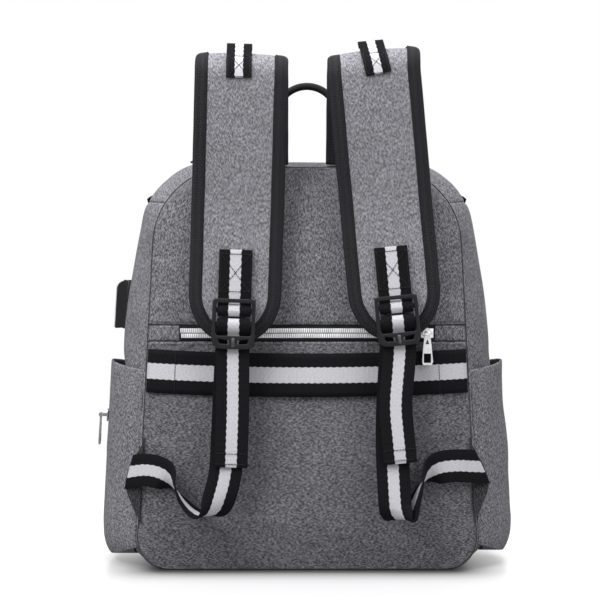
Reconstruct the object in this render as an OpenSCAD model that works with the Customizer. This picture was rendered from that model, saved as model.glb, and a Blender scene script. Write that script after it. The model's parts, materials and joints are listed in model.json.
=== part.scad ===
// Nappy backpack with a USB port, standing on its base.
// Millimetres. +Z is up, -Y is the wearer's side, +Y the front, -X the side with the USB port.

/* [Body] */
// Height of the back panel
body_h = 371; // [350:1:400]
// Width of the back panel at the base
base_w = 316; // [296:1:336]
// Width of the back panel at the shoulders
top_w = 278; // [262:1:290]
// Depth between the rear and the front seam
body_d = 160; // [145:1:180]
// Corner radius at the shoulders
top_r = 48; // [42:1:54]
// Corner radius at the base
base_r = 28; // [24:1:32]
// Thickness of the padded sides and top
wall = 3.5; // [2.5:0.1:4.5]
// How far the back panel is padded out
back_puff = 7; // [5:0.5:9]
// Thickness of a panel at its seam
edge_t = 3; // [2:0.1:4]
// Clearance along a seam
seam = 0.3; // [0.2:0.05:0.4]

/* [Swell of the sides] */
// Swell at the foot of the sides
foot_swell = 20; // [14:1:24]
// Extra swell half way up
side_swell = 11; // [7:1:13]
// Swell under the shoulders
shoulder_swell = 17; // [13:1:20]
// Swell of the top
top_swell = 11; // [8:1:13]

/* [Pockets] */
// Height of the side pockets at the rear seam
pocket_h = 184; // [160:1:195]
// How far a side pocket stands out from the panel's width
pocket_swell = 41.5; // [38:0.5:46]
// Thickness of pocket cloth
cloth = 2; // [1.5:0.1:2.5]
// Depth of the front pocket
front_depth = 40; // [30:1:50]
// Height of the front pocket
front_h = 250; // [230:1:270]

/* [Zips] */
// Half length of the rear zip
rear_zip = 117; // [105:1:119]
// Half length of the front zip
front_zip = 88; // [75:1:92]
// Half width of the mouth flap
flap_half = 78; // [70:1:80]
// Length of the side pocket's zip
side_zip = 104; // [90:1:108]
// Length of a puller
pull_l = 29; // [24:0.5:32]

/* [Straps] */
// Width of a shoulder strap
strap_w = 84; // [76:1:88]
// Thickness of the strap's padding at its middle
strap_t = 7.5; // [6:0.5:9]
// Width of the strap's edge binding
bind_w = 10.5; // [8:0.5:12]
// Height of the strap's arch above the body
arch_h = 79; // [70:1:90]
// Radius of the strap's arch
arch_r = 19.5; // [17:0.5:22]
// Width of the adjuster webbing
web_w = 30; // [28:0.5:31]
// Thickness of webbing
web_t = 1.5; // [1.2:0.1:1.6]
// Width of the luggage band
band_w = 40; // [36:1:44]
// Slack of the luggage band
band_slack = 4.5; // [4.3:0.1:5]
// Radius of the grab handle's arch
grip_r = 29; // [25:1:32]
// Thickness of the grab handle
grip_t = 8; // [7:0.5:9]

/* [USB port] */
// Height of the port housing
usb_h = 46; // [42:1:50]
// Depth of the port housing along the bag's side
usb_d = 28; // [25:1:31]
// How far the housing stands out
usb_out = 13; // [11.5:0.5:15]

/* [Hidden] */
lean = atan((base_w - top_w) / 2 / body_h);
cxb = base_w / 2 - base_r / cos(lean) - base_r * tan(lean);
cxt = base_w / 2 - top_r / cos(lean) - (body_h - top_r) * tan(lean);
z_low = base_r + base_r * sin(lean);
z_high = body_h - top_r + top_r * sin(lean);
shoulder_a = 18;
q_seam = 3 + (shoulder_a - lean) / (90 - lean);
rear_y = body_d / 2;
zip_h = 7.5;
zip_z = body_h * 0.5876;
rear_zip_y = -(rear_y + seam + edge_t + back_puff) + 1.4;
band_z = zip_z - 35.5;
lining_t = 1;
lining_gap = 5.5;
tooth_pitch = 3;
tooth_w = 1.6;
tooth_tip = 0.5;
tooth_root = 3.2;
chain_w = 4;
chain_t = 2.4;
tape_t = 0.8;
slider_l = 12;
slider_w = 10;
plate_t = 1.3;
chain_gap = 0.4;
plate_z = chain_t / 2 + chain_gap;
bail_z = 9;
bail_r = 0.9;
pull_bore = 1.05;
pull_t = 1.5;
main_zip_z = body_h + top_swell - 1.5;
slider_x = flap_half + seam + slider_l / 2 + 0.6;
front_y = rear_y + seam + edge_t;
front_zip_z = front_h - 42;
pocket_z0 = 2;
usb_z = body_h * 0.66;
strap_y0 = -(rear_y - 4);
strap_foot = 3.15;
arch_y = strap_y0 - arch_r - 3.5;
arch_z = body_h + arch_h;
hang_y = -(rear_y + back_puff + 20);
tip_z = zip_z - 10;
low_z = tip_z + 102;
end_len = 46;
strap_rise_x = 59.5;
right_rise = 3;
lining_z = -3;
lip_w = 1.2;
bar_z = tip_z + 31;
tab_top = bar_z + 55;
grip_y = -50;

heather = [0.45, 0.45, 0.47];
black = [0.1, 0.1, 0.11];
silver = [0.75, 0.75, 0.77];
stripe = [0.2, 0.2, 0.22];

// Outline of the back and front panels, right half: q runs 0 to 5 from base centre to top centre
function lerp(a, b, t) = a + (b - a) * t;
function ease(t) = t * t * (3 - 2 * t);
function clamp(t) = max(0, min(1, t));
function unit(v) = v / norm(v);
function out_a(q) =
    q < 1 ? -90 :
    q < 2 ? lerp(-90, lean, q - 1) :
    q < 3 ? lean :
    q < 4 ? lerp(lean, 90, q - 3) : 90;
function edge_low() = [cxb + base_r * cos(lean), z_low];
function edge_high() = [cxt + top_r * cos(lean), z_high];
function outline(q) =
    q < 1 ? [q * cxb, 0] :
    q < 2 ? [cxb + base_r * cos(out_a(q)), base_r + base_r * sin(out_a(q))] :
    q < 3 ? lerp(edge_low(), edge_high(), q - 2) :
    q < 4 ? [cxt + top_r * cos(out_a(q)), body_h - top_r + top_r * sin(out_a(q))] :
    [lerp(cxt, 0, q - 4), body_h];
function swell(q) =
    q < 1 ? 0 :
    q < 2 ? foot_swell * ease(q - 1) :
    q < 3 ? lerp(foot_swell, shoulder_swell, q - 2) + side_swell * sin(180 * (q - 2)) :
    q < 4 ? lerp(shoulder_swell, top_swell, clamp(2 * (q - 3))) : top_swell;
function bow(t) = pow(sin(180 * clamp(t)), 0.75);
// Point of the band that joins the two panels; t runs from the rear seam to the front seam
function band(q, t, inset, side) =
    let (a = out_a(q), n = [cos(a), sin(a)], d = a < 0 ? [1, 0] : n)
    let (p = outline(q) + d * swell(q) * bow(t) - n * inset)
    [side * p[0], lerp(-rear_y, rear_y, t), p[1]];
function q_at(z) =
    z < z_low ? 1 + (asin((z - base_r) / base_r) + 90) / (lean + 90) :
    2 + (z - z_low) / (z_high - z_low);
function half_w(z) =
    z < z_low ? cxb + sqrt(pow(base_r, 2) - pow(base_r - z, 2)) :
    z > z_high ? cxt + sqrt(max(0, pow(top_r, 2) - pow(z - body_h + top_r, 2))) :
    base_w / 2 - z * tan(lean);
function puff(x, z) =
    (1 - pow(min(1, abs(x) / half_w(z)), 10)) * (1 - pow(abs(2 * z / body_h - 1), 10));
function back_face(x, z) = -(rear_y + seam + edge_t + back_puff * puff(x, z));
function side_x(z, t) = half_w(z) + swell(q_at(z)) * bow(t);

// Closed solid between an outer and an inner grid of points
module skin(outer, inner, turn = false) {
    r = len(outer);
    c = len(outer[0]);
    n = r * c;
    pts = concat([for (row = outer) each row], [for (row = inner) each row]);
    top = [for (i = [0:r - 2], j = [0:c - 2]) let (a = i * c + j)
        each [[a, a + 1, a + c + 1], [a, a + c + 1, a + c]]];
    low = [for (f = top) [f[2] + n, f[1] + n, f[0] + n]];
    ring = concat([for (j = [0:c - 1]) j], [for (i = [1:r - 1]) i * c + c - 1],
        [for (j = [c - 2:-1:0]) (r - 1) * c + j], [for (i = [r - 2:-1:1]) i * c]);
    rim = [for (k = [0:len(ring) - 1]) let (a = ring[k], b = ring[(k + 1) % len(ring)])
        each [[a, a + n, b + n], [a, b + n, b]]];
    faces = concat(top, low, rim);
    polyhedron(pts, turn ? [for (f = faces) [f[2], f[1], f[0]]] : faces);
}

module mirrored(side) {
    if (side < 0) mirror([1, 0, 0]) children();
    else children();
}

// Columns are closer together towards the padded edges
edge_cols = [-1, -0.975, -0.93, -0.86, -0.72, -0.4, 0, 0.4, 0.72, 0.86, 0.93, 0.975, 1];
low_rows = concat([for (a = [0:22.5:90]) base_r * (1 - cos(a))],
    [for (i = [1:4]) lerp(base_r, zip_z - zip_h, i / 4)]);
high_rows = concat([for (i = [0:3]) lerp(zip_z + zip_h, body_h - top_r, i / 3)],
    [for (a = [18:18:90]) body_h - top_r + top_r * sin(a)]);

module back_part(rows) {
    outer = [for (z = rows) [for (u = edge_cols) let (x = u * half_w(z)) [x, back_face(x, z), z]]];
    inner = [for (z = rows) [for (u = edge_cols) let (x = u * half_w(z))
        [x, -(rear_y + seam + 0.4 * back_puff * puff(x, z)), z]]];
    skin(outer, inner, true);
}

module back_panel_upper() {
    color(heather) back_part(high_rows);
}

module back_panel_lower() {
    color(heather) back_part(low_rows);
}

module rear_zip_facings() {
    rows = [zip_z - zip_h + seam, zip_z, zip_z + zip_h - seam];
    cols = [0, 0.3, 0.55, 0.8, 1];
    color(heather) for (side = [-1, 1]) mirrored(side) {
        outer = [for (z = rows) [for (u = cols)
            let (x = lerp(rear_zip + seam, half_w(z), u)) [x, back_face(x, z), z]]];
        inner = [for (row = outer) [for (p = row) [p[0], -(rear_y + seam), p[2]]]];
        skin(outer, inner, true);
    }
}

// Inner wall of the flat pocket behind the rear zip
module rear_pocket_lining() {
    lining_w = 2 * (rear_zip + 8);
    lining_low = base_r + 12;
    lining_h = zip_z + zip_h + 6 - lining_low;
    back = -(rear_y + seam) + 0.2;
    rim_d = lining_gap;
    color(black) difference() {
        translate([-lining_w / 2, back, lining_low]) cube([lining_w, rim_d + lining_t, lining_h]);
        translate([-lining_w / 2 + lip_w, back - 1, lining_low + lip_w])
            cube([lining_w - 2 * lip_w, rim_d + 1, lining_h - 2 * lip_w]);
    }
}

// One half of a zip chain; half is 1 or -1, local X along the zip, local Z outward
module zip_teeth(from, to, half) {
    count = floor((to - from - tooth_w) / tooth_pitch);
    shift = half > 0 ? 0 : tooth_pitch / 2;
    comb = concat([[from, chain_w], [from, tooth_root]],
        [for (i = [0:count - 1]) let (x = from + tooth_w / 2 + 0.2 + shift + i * tooth_pitch)
            each [[x - tooth_w / 2, tooth_root], [x - tooth_w / 2, tooth_tip],
                [x + tooth_w / 2, tooth_tip], [x + tooth_w / 2, tooth_root]]],
        [[to, tooth_root], [to, chain_w]]);
    linear_extrude(chain_t, center = true)
        polygon([for (p = comb) [p[0], half * p[1]]]);
}

module zip_tape(from, to, half) {
    tape_w = zip_h - seam - chain_w - 0.2;
    y0 = half > 0 ? chain_w + 0.2 : -(chain_w + 0.2 + tape_w);
    translate([from, y0, -tape_t / 2]) cube([to - from, tape_w, tape_t]);
}

// Two plates joined by a thin web that runs between the two rows of teeth, and a bail for the puller
module zip_slider(across) {
    nose_r = slider_w / 2;
    post = 1.8;
    span = 5.4;
    foot_z = plate_z + plate_t;
    for (z = [plate_z, -plate_z - plate_t]) translate([0, 0, z]) linear_extrude(plate_t) {
        translate([nose_r - slider_l / 2, 0]) circle(nose_r, $fn = 48);
        translate([nose_r - slider_l / 2, -nose_r + 0.8])
            square([slider_l - nose_r, slider_w - 1.6]);
    }
    translate([-slider_l / 2 + 2, -0.3, -plate_z - 0.5]) cube([slider_l - 4, 0.6, 2 * plate_z + 1]);
    rotate([0, 0, across ? 90 : 0]) {
        for (s = [-1, 1]) translate([s * (span / 2 + post / 2) - post / 2, -1.3, foot_z - 0.3])
            cube([post, 2.6, bail_z + 1.3 - foot_z + 0.3]);
        translate([-span / 2 - 0.5, 0, bail_z]) rotate([0, 90, 0])
            cylinder(r = bail_r, h = span + 1, $fn = 32);
    }
}

// Puller hanging along -Y from a pin on the X axis
module zip_puller() {
    ring_r = 2.1;
    ring_l = 5;
    top_half = 2.5;
    low_half = 5.3;
    hole_half = 3.3;
    hole_h = 8.5;
    hole_y = -pull_l + 2;
    difference() {
        union() {
            translate([-ring_l / 2, 0, 0]) rotate([0, 90, 0]) cylinder(r = ring_r, h = ring_l, $fn = 40);
            translate([0, 0, -pull_t / 2]) linear_extrude(pull_t) difference() {
                polygon([[-top_half, -0.5], [top_half, -0.5], [low_half, -pull_l + 3],
                    [low_half - 1.5, -pull_l], [1.5 - low_half, -pull_l], [-low_half, -pull_l + 3]]);
                translate([-hole_half, hole_y]) square([2 * hole_half, hole_h]);
                polygon([[0, -5.5], [-1.8, -10], [1.8, -10]]);
            }
        }
        translate([-ring_l, 0, 0]) rotate([0, 90, 0]) cylinder(r = pull_bore, h = 2 * ring_l, $fn = 40);
    }
}

module at_rear_zip() {
    translate([0, rear_zip_y, zip_z]) rotate([90, 0, 0]) children();
}

module rear_zip_tape() {
    color(black) at_rear_zip() for (half = [-1, 1]) zip_tape(-rear_zip, rear_zip, half);
}

module rear_zip_teeth() {
    color(silver) at_rear_zip() for (half = [-1, 1]) zip_teeth(-rear_zip, rear_zip, half);
}

rear_slider_x = rear_zip - slider_l / 2 - 1;

module rear_zip_slider() {
    color(silver) at_rear_zip() translate([rear_slider_x, 0, 0]) zip_slider(false);
}

module rear_zip_puller() {
    color(silver) at_rear_zip() translate([rear_slider_x, 0, bail_z]) zip_puller();
}

// Webbing that holds the bag on a suitcase handle, sewn down at both ends
module luggage_band() {
    cols = [for (i = [-14:14]) i / 14];
    slack_half = 121;
    function slack(x) = band_slack * pow(clamp(1 - pow(x / slack_half, 2)), 0.7);
    function at(u, z, off) = let (x = u * (half_w(z) - 1.5))
        [x, back_face(x, z) - seam - slack(x) - off, z];
    rows = [band_z - band_w / 2, band_z + band_w / 2];
    color(stripe) skin([for (z = rows) [for (u = cols) at(u, z, web_t)]],
        [for (z = rows) [for (u = cols) at(u, z, 0)]], true);
}

gusset_rows = concat([for (i = [0:5]) 1 + i / 5], [for (i = [1:10]) 2 + i / 10],
    [lerp(3, q_seam, 0.5), q_seam]);
depth_cols = [0, 0.025, 0.07, 0.14, 0.25, 0.38, 0.5, 0.62, 0.75, 0.86, 0.93, 0.975, 1];

module side_gusset(side) {
    mirrored(side) skin([for (q = gusset_rows) [for (t = depth_cols) band(q, t, 0, 1)]],
        [for (q = gusset_rows) [for (t = depth_cols) band(q, t, wall, 1)]], true);
}

module side_gusset_left() {
    color(heather) side_gusset(-1);
}

module side_gusset_right() {
    color(heather) side_gusset(1);
}

module base_panel() {
    color(heather) translate([-cxb + seam, -rear_y, 0]) cube([2 * (cxb - seam), body_d, wall]);
}

// Stiff board that lies loose-fitted on the base
module base_board() {
    board_r = 18;
    board_t = 2.5;
    half_x = cxb - 6;
    half_y = rear_y - 12;
    color(black) translate([0, 0, wall + seam]) linear_extrude(board_t) {
        square([2 * half_x, 2 * (half_y - board_r)], center = true);
        square([2 * (half_x - board_r), 2 * half_y], center = true);
        for (x = [-1, 1], y = [-1, 1]) translate([x * (half_x - board_r), y * (half_y - board_r)])
            circle(board_r, $fn = 64);
    }
}

module front_panel() {
    rows = concat([for (a = [0:30:90]) base_r * (1 - cos(a))],
        [for (i = [1:3]) lerp(base_r, body_h - top_r, i / 3)],
        [for (a = [22.5:22.5:90]) body_h - top_r + top_r * sin(a)]);
    cols = [-1, -0.95, -0.8, -0.4, 0, 0.4, 0.8, 0.95, 1];
    front_puff = 1.5;
    outer = [for (z = rows) [for (u = cols) let (x = u * half_w(z))
        [x, front_y + front_puff * puff(x, z), z]]];
    inner = [for (row = outer) [for (p = row) [p[0], rear_y + seam, p[2]]]];
    color(heather) skin(outer, inner);
}

q_strip = q_seam + 0.005;
strip_qs = concat([for (i = [0:6]) lerp(q_strip, 4, i / 6)], [4.5]);

module top_strip_rear() {
    t1 = 0.5 - zip_h / body_d;
    ts = [0, 0.03, 0.08, 0.16, 0.28, t1];
    function row(t, inset) = concat([for (q = strip_qs) band(q, t, inset, 1)],
        [for (i = [len(strip_qs) - 1:-1:0]) band(strip_qs[i], t, inset, -1)]);
    color(heather) skin([for (t = ts) row(t, 0)], [for (t = ts) row(t, wall)]);
}

front_ts = [0.5 + zip_h / body_d, 0.72, 0.84, 0.92, 0.97, 1];

module shoulder_strip(side) {
    q_end = 4 + (cxt - flap_half - seam) / cxt;
    qs = concat([for (i = [0:6]) lerp(q_strip, 4, i / 6)], [q_end]);
    mirrored(side) skin([for (q = qs) [for (t = front_ts) band(q, t, 0, 1)]],
        [for (q = qs) [for (t = front_ts) band(q, t, wall, 1)]], true);
}

module shoulder_strip_left() {
    color(heather) shoulder_strip(-1);
}

module shoulder_strip_right() {
    color(heather) shoulder_strip(1);
}

// Front half of the zipped mouth, hinged on the front seam
module mouth_flap() {
    xs = [flap_half, 0, -flap_half];
    function row(t, inset) = [for (x = xs) let (p = band(5, t, inset, 1))
        [x, p[1] - (t == 1 ? seam : 0), p[2]]];
    color(heather) skin([for (t = front_ts) row(t, 0)], [for (t = front_ts) row(t, wall)]);
}

module at_main_zip() {
    translate([0, 0, main_zip_z]) children();
}

module main_zip_tape() {
    color(black) at_main_zip() {
        zip_tape(-cxt + seam, cxt - seam, -1);
        zip_tape(flap_half + seam, cxt - seam, 1);
        zip_tape(-cxt + seam, -flap_half - seam, 1);
    }
}

module main_zip_teeth() {
    color(black) at_main_zip() {
        zip_teeth(-cxt + seam, cxt - seam, -1);
        zip_teeth(flap_half + seam, cxt - seam, 1);
        zip_teeth(-cxt + seam, -flap_half - seam, 1);
    }
}

// The zip's last stretch, curving down over both shoulders
module main_zip_ends() {
    qs = [for (i = [0:7]) lerp(q_strip, 4 - 0.004, i / 7)];
    half_t = (zip_h - seam) / body_d;
    ts = [0.5 - half_t, 0.5 - half_t / 2, 0.5, 0.5 + half_t / 2, 0.5 + half_t];
    rise = [0.8, 0.2, 0, 0.2, 0.8];
    color(black) for (side = [-1, 1]) mirrored(side)
        skin([for (q = qs) [for (j = [0:4]) band(q, ts[j], rise[j], 1)]],
            [for (q = qs) [for (j = [0:4]) band(q, ts[j], 2.2, 1)]], true);
}

module flap_zip_tape() {
    color(black) at_main_zip() zip_tape(-flap_half, flap_half, 1);
}

module flap_zip_teeth() {
    color(black) at_main_zip() zip_teeth(-flap_half, flap_half, 1);
}

droop = 13;

module main_zip_slider(side) {
    at_main_zip() translate([side * slider_x, 0, 0]) zip_slider(true);
}

module main_zip_puller(side) {
    at_main_zip() translate([side * slider_x, 0, bail_z]) rotate([0, side * droop, 0])
        rotate([0, 0, side * 90]) zip_puller();
}

module main_zip_slider_left() {
    color(black) main_zip_slider(-1);
}

module main_zip_slider_right() {
    color(black) main_zip_slider(1);
}

module main_zip_puller_left() {
    color(black) main_zip_puller(-1);
}

module main_zip_puller_right() {
    color(black) main_zip_puller(1);
}

// Side pockets: f is the share of the full swell, lift and draw move the inner face
function pocket_x(z) = base_w / 2 + pocket_swell - z * tan(lean);
pocket_rows = [[0, 0, 0, 1], [0.5, 0, 0, 1], [0.8, 2.5, 0.5, 0.9], [0.86, 8, 0.9, 0.4], [0.93, 19, 1, 0],
    [1, 36, 1, 0], [1, 60, 1, 0], [1, 90, 1, 0], [1, 140, 1, 0], [1, pocket_h, 1, 0]];
pocket_ts = [for (i = [1:len(depth_cols) - 2]) depth_cols[i]];
pocket_gap = 0.9;
mouth_rise = 8;

module side_pocket(side) {
    first = pocket_ts[0];
    function fill(t) = pow(max(0, sin(180 * (t - first) / (1 - 2 * first))), 0.6);
    function at(r, t, inner) =
        let (z = pocket_z0 + r[1] + (r[1] == pocket_h ? mouth_rise * sin(180 * t) - pocket_z0 : 0))
        let (x0 = side_x(max(z, 3), t) + pocket_gap + cloth)
        let (x = x0 + r[0] * (pocket_x(z) - side_x(max(z, 3), 0.5) - pocket_gap - cloth) * fill(t))
        [x - inner * cloth * r[2], lerp(-rear_y, rear_y, t), z + inner * cloth * r[3]];
    mirrored(side) skin([for (r = pocket_rows) [for (t = pocket_ts) at(r, t, 0)]],
        [for (r = pocket_rows) [for (t = pocket_ts) at(r, t, 1)]], true);
}

side_zip_mid = 92;

// Local X runs down the pocket's outer face, local Z outward
module at_side_zip() {
    translate([-pocket_x(side_zip_mid), 0, side_zip_mid]) rotate([0, lean - 90, 0])
        rotate([0, 0, 180]) translate([0, 0, -1]) children();
}

module side_pocket_left() {
    color(heather) difference() {
        side_pocket(-1);
        at_side_zip() translate([-side_zip / 2, -zip_h, -10]) cube([side_zip, 2 * zip_h, 20]);
    }
}

module side_pocket_right() {
    color(heather) side_pocket(1);
}

module side_zip_tape() {
    color(black) at_side_zip() for (half = [-1, 1])
        zip_tape(-side_zip / 2 + seam, side_zip / 2 - seam, half);
}

module side_zip_teeth() {
    color(silver) at_side_zip() for (half = [-1, 1])
        zip_teeth(-side_zip / 2 + seam, side_zip / 2 - seam, half);
}

side_slider_x = -side_zip / 2 + slider_l / 2 + 1;

module side_zip_slider() {
    color(silver) at_side_zip() translate([side_slider_x, 0, 0]) zip_slider(true);
}

module side_zip_puller() {
    color(silver) at_side_zip() translate([side_slider_x, 0, bail_z]) rotate([0, 0, 90]) zip_puller();
}

// Zipped pocket on the front panel
module front_pocket() {
    foot = 10;
    inset = 16;
    front_puff = 1.5;
    us = [-1, -0.98, -0.93, -0.85, -0.7, -0.35, 0, 0.35, 0.7, 0.85, 0.93, 0.98, 1];
    vs = [-1, -0.97, -0.91, -0.8, -0.55, -0.2, 0.2, 0.55, 0.8, 0.91, 0.97, 1];
    function round(u, v) = pow(clamp(1 - pow(abs(u), 6)), 0.7) * pow(clamp(1 - pow(abs(v), 8)), 0.7);
    function at(u, v, inner) =
        let (z = lerp(foot, front_h, (v + 1) / 2))
        let (corner = 1 - 0.12 * pow(abs(v), 8))
        let (x = u * corner * (half_w(z) - inset) * (inner ? 0.985 : 1))
        let (zz = inner ? lerp(z, (foot + front_h) / 2, 0.015) : z)
        [x, front_y + front_puff + seam + (inner ? 0 : cloth) + (front_depth - cloth) * round(u, v), zz];
    color(heather) difference() {
        skin([for (v = vs) [for (u = us) at(u, v, false)]],
            [for (v = vs) [for (u = us) at(u, v, true)]]);
        translate([-front_zip, front_y + front_depth / 2, front_zip_z - zip_h])
            cube([2 * front_zip, front_depth, 2 * zip_h]);
    }
}

module at_front_zip() {
    translate([0, front_y + front_depth - 0.5, front_zip_z]) rotate([90, 0, 180]) children();
}

module front_zip_tape() {
    color(black) at_front_zip() for (half = [-1, 1])
        zip_tape(-front_zip + seam, front_zip - seam, half);
}

module front_zip_teeth() {
    color(silver) at_front_zip() for (half = [-1, 1])
        zip_teeth(-front_zip + seam, front_zip - seam, half);
}

front_slider_x = front_zip - slider_l / 2 - 1;

module front_zip_slider() {
    color(silver) at_front_zip() translate([front_slider_x, 0, 0]) zip_slider(false);
}

module front_zip_puller() {
    color(silver) at_front_zip() translate([front_slider_x, 0, bail_z]) zip_puller();
}

// USB port: local Z up the bag's side, local X outward
usb_lean = 8;
usb_face = 3.5;
usb_slot_w = 12.5;
usb_slot_h = 5.2;
usb_shell = 0.5;
usb_depth = 19;
usb_mid = usb_out * 0.52;

module at_usb() {
    translate([-side_x(usb_z, 0.5) - seam - 0.35, 0, usb_z]) rotate([0, 0, 180])
        rotate([0, -usb_lean, 0]) children();
}

module usb_housing() {
    hood_r = 9;
    hood_z = usb_h / 2 - hood_r;
    foot_z = -usb_h / 2 - usb_out * tan(usb_lean);
    function out_x(z) = usb_out + z * tan(usb_lean - usb_face);
    profile = concat([[0, -usb_h / 2], [out_x(foot_z) - 1.2, foot_z], [out_x(foot_z), foot_z + 1.2]],
        [for (a = [0 : 10 : 90]) [out_x(hood_z) - hood_r + hood_r * cos(a), hood_z + hood_r * sin(a)]],
        [[0, usb_h / 2]]);
    rim_w = 3;
    rim_t = 2.4;
    color(black) at_usb() difference() {
        union() {
            translate([0, usb_d / 2, 0]) rotate([90, 0, 0]) linear_extrude(usb_d) polygon(profile);
            translate([0, -usb_d / 2 - rim_w, -usb_h / 2 - rim_w])
                cube([rim_t, usb_d + 2 * rim_w, usb_h + 2 * rim_w]);
        }
        translate([usb_mid - usb_slot_h / 2 - usb_shell - 0.1, -usb_slot_w / 2 - usb_shell - 0.1,
            -usb_h / 2 - 10])
            cube([usb_slot_h + 2 * usb_shell + 0.2, usb_slot_w + 2 * usb_shell + 0.2, usb_depth + 10.3]);
        translate([usb_mid - usb_slot_h / 2 - usb_shell - 1, -usb_slot_w / 2 - 2.5, -usb_h / 2 - 10])
            cube([usb_slot_h + 3, usb_slot_w + 5, 11]);
    }
}

// Metal shell of the socket, open downward
module usb_socket() {
    color(silver) at_usb() translate([usb_mid, 0, -usb_h / 2 + 1.2]) difference() {
        translate([-usb_slot_h / 2 - usb_shell, -usb_slot_w / 2 - usb_shell, 0])
            cube([usb_slot_h + 2 * usb_shell, usb_slot_w + 2 * usb_shell, usb_depth - 1.2]);
        translate([-usb_slot_h / 2, -usb_slot_w / 2, -1])
            cube([usb_slot_h, usb_slot_w, usb_depth - 1.2]);
    }
}

// Shoulder strap: s runs 0 to 1 up the riser, to 2 round the arch, to 3 down the bow, to 4 at the tip
function lean_x(side) = side < 0 ? [59.5, 67] : [60.5, 83.5];
function hang_a(side) = atan((lean_x(side)[1] - lean_x(side)[0]) / (arch_z - tip_z));
function strap_yz(s) =
    s < 1 ? [lerp(strap_y0, arch_y + arch_r, ease(s)), lerp(body_h + strap_foot, arch_z, s)] :
    s < 2 ? [arch_y + arch_r * cos(180 * (s - 1)), arch_z + arch_r * sin(180 * (s - 1))] :
    s < 3 ? [lerp(arch_y - arch_r, hang_y, ease(s - 2)), lerp(arch_z, low_z, s - 2)] :
    [hang_y, lerp(low_z, tip_z, s - 3)];
function strap_n(s) =
    let (d = 0.01, a = strap_yz(max(0, s - d)), b = strap_yz(min(4, s + d)), t = unit(b - a))
    [0, t[1], -t[0]];
function strap_x(s, side) =
    let (f = clamp((arch_z - strap_yz(s)[1]) / (arch_z - tip_z)), e = lean_x(side))
    s < 1 ? lerp(strap_rise_x, e[0], s) : s < 2 ? e[0] : lerp(e[0], e[1], f);
// The right strap stands a little higher than the left, and both arches tilt with their hanging ends
function strap_up(s, side) = side < 0 ? 0 : right_rise * ease(clamp(s));
function strap_c(s, side) = let (p = strap_yz(s)) [side * strap_x(s, side), p[0], p[1] + strap_up(s, side)];
function strap_a(s, side) = let (a = side * hang_a(side) * ease(clamp((s - 0.7) / 0.7)))
    [cos(a), 0, sin(a)];
function strap_p(s, side, u, off) = strap_c(s, side) + strap_a(s, side) * u + strap_n(s) * off;
// Distance from the tip, and the half widths of strap and padding there
function tip_d(s) = s < 3 ? 1000 : (4 - s) * (low_z - tip_z);
function round_w(d, w, e) = d >= e ? w : w * sqrt(max(0, 1 - pow((e - d) / e, 2)));
function full_w(s) = max(0.8, round_w(tip_d(s), strap_w / 2, end_len));
function core_w(s) = max(0.5, round_w(tip_d(s) - bind_w, strap_w / 2 - bind_w, end_len - bind_w));

rise_ss = concat([for (i = [0:4]) i / 4], [for (i = [1:5]) 1 + i / 10]);
bend_ss = concat([1.505], [for (i = [6:10]) 1 + i / 10], [for (i = [1:7]) 2 + i / 7],
    [3.28, 3.56]);
core_len = end_len - bind_w;
core_ss = [for (a = [80, 66, 52, 38, 24, 8])
    4 - (bind_w + core_len * (1 - sin(90 - a))) / (low_z - tip_z)];
tip_ss = [for (d = [8.5, 6, 3.8, 2, 0.8, 0.2]) 4 - d / (low_z - tip_z)];
crown_us = [-1, -0.85, -0.5, 0, 0.5, 0.85, 1];
strap_edge = 2.4;
function crown(u) = strap_edge + (strap_t + lining_z - strap_edge) * pow(1 - u * u, 0.6);

module strap_skin(ss, side, us, top, low) {
    skin([for (s = ss) [for (u = us) strap_p(s, side, u * (core_w(s) - seam), top(u))]],
        [for (s = ss) [for (u = us) strap_p(s, side, u * (core_w(s) - seam), low(u))]]);
}

module strap_riser(side) {
    us = [-1, -0.94, -0.75, -0.4, 0, 0.4, 0.75, 0.94, 1];
    top = [0.8, 2.2, 3.4, 4.2, 4.5, 4.2, 3.4, 2.2, 0.8];
    low = [-2.6, -4, -4.3, -4.3, -4.3, -4.3, -4.3, -4, -2.6];
    skin([for (s = rise_ss) [for (j = [0:8]) strap_p(s, side, us[j] * strap_w / 2, top[j])]],
        [for (s = rise_ss) [for (j = [0:8]) strap_p(s, side, us[j] * strap_w / 2, low[j])]]);
}

module strap_riser_left() {
    color(heather) strap_riser(-1);
}

module strap_riser_right() {
    color(heather) strap_riser(1);
}

pad_ss = concat(bend_ss, [for (s = core_ss) if (s > 3.57) s]);

module strap_pad_left() {
    color(heather) strap_skin(pad_ss, -1, crown_us, function (u) crown(u), function (u) lining_z);
}

module strap_pad_right() {
    color(heather) strap_skin(pad_ss, 1, crown_us, function (u) crown(u), function (u) lining_z);
}

module strap_lining_left() {
    color(black) strap_skin(pad_ss, -1, [-1, 0, 1], function (u) lining_z - seam,
        function (u) lining_z - seam - lip_w);
}

module strap_lining_right() {
    color(black) strap_skin(pad_ss, 1, [-1, 0, 1], function (u) lining_z - seam,
        function (u) lining_z - seam - lip_w);
}

// Folded tape sewn over the strap's edge, as two runs that meet at the tip
module strap_binding(side) {
    ss = concat(pad_ss, tip_ss);
    bs = [0, 0.5, 0.9, 1];
    top = [2.5, 2.7, 1.7, 0.2];
    low = [-4.5, -4.5, -3.8, -2.2];
    function inner_w(s) = tip_d(s) < bind_w ? 0.15 : core_w(s);
    for (half = [-1, 1])
        skin([for (s = ss) [for (j = [0:3])
                strap_p(s, side, half * lerp(inner_w(s), full_w(s), bs[j]), top[j])]],
            [for (s = ss) [for (j = [0:3])
                strap_p(s, side, half * lerp(inner_w(s), full_w(s), bs[j]), low[j])]], half < 0);
}

module strap_binding_left() {
    color(black) strap_binding(-1);
}

module strap_binding_right() {
    color(black) strap_binding(1);
}

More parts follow.
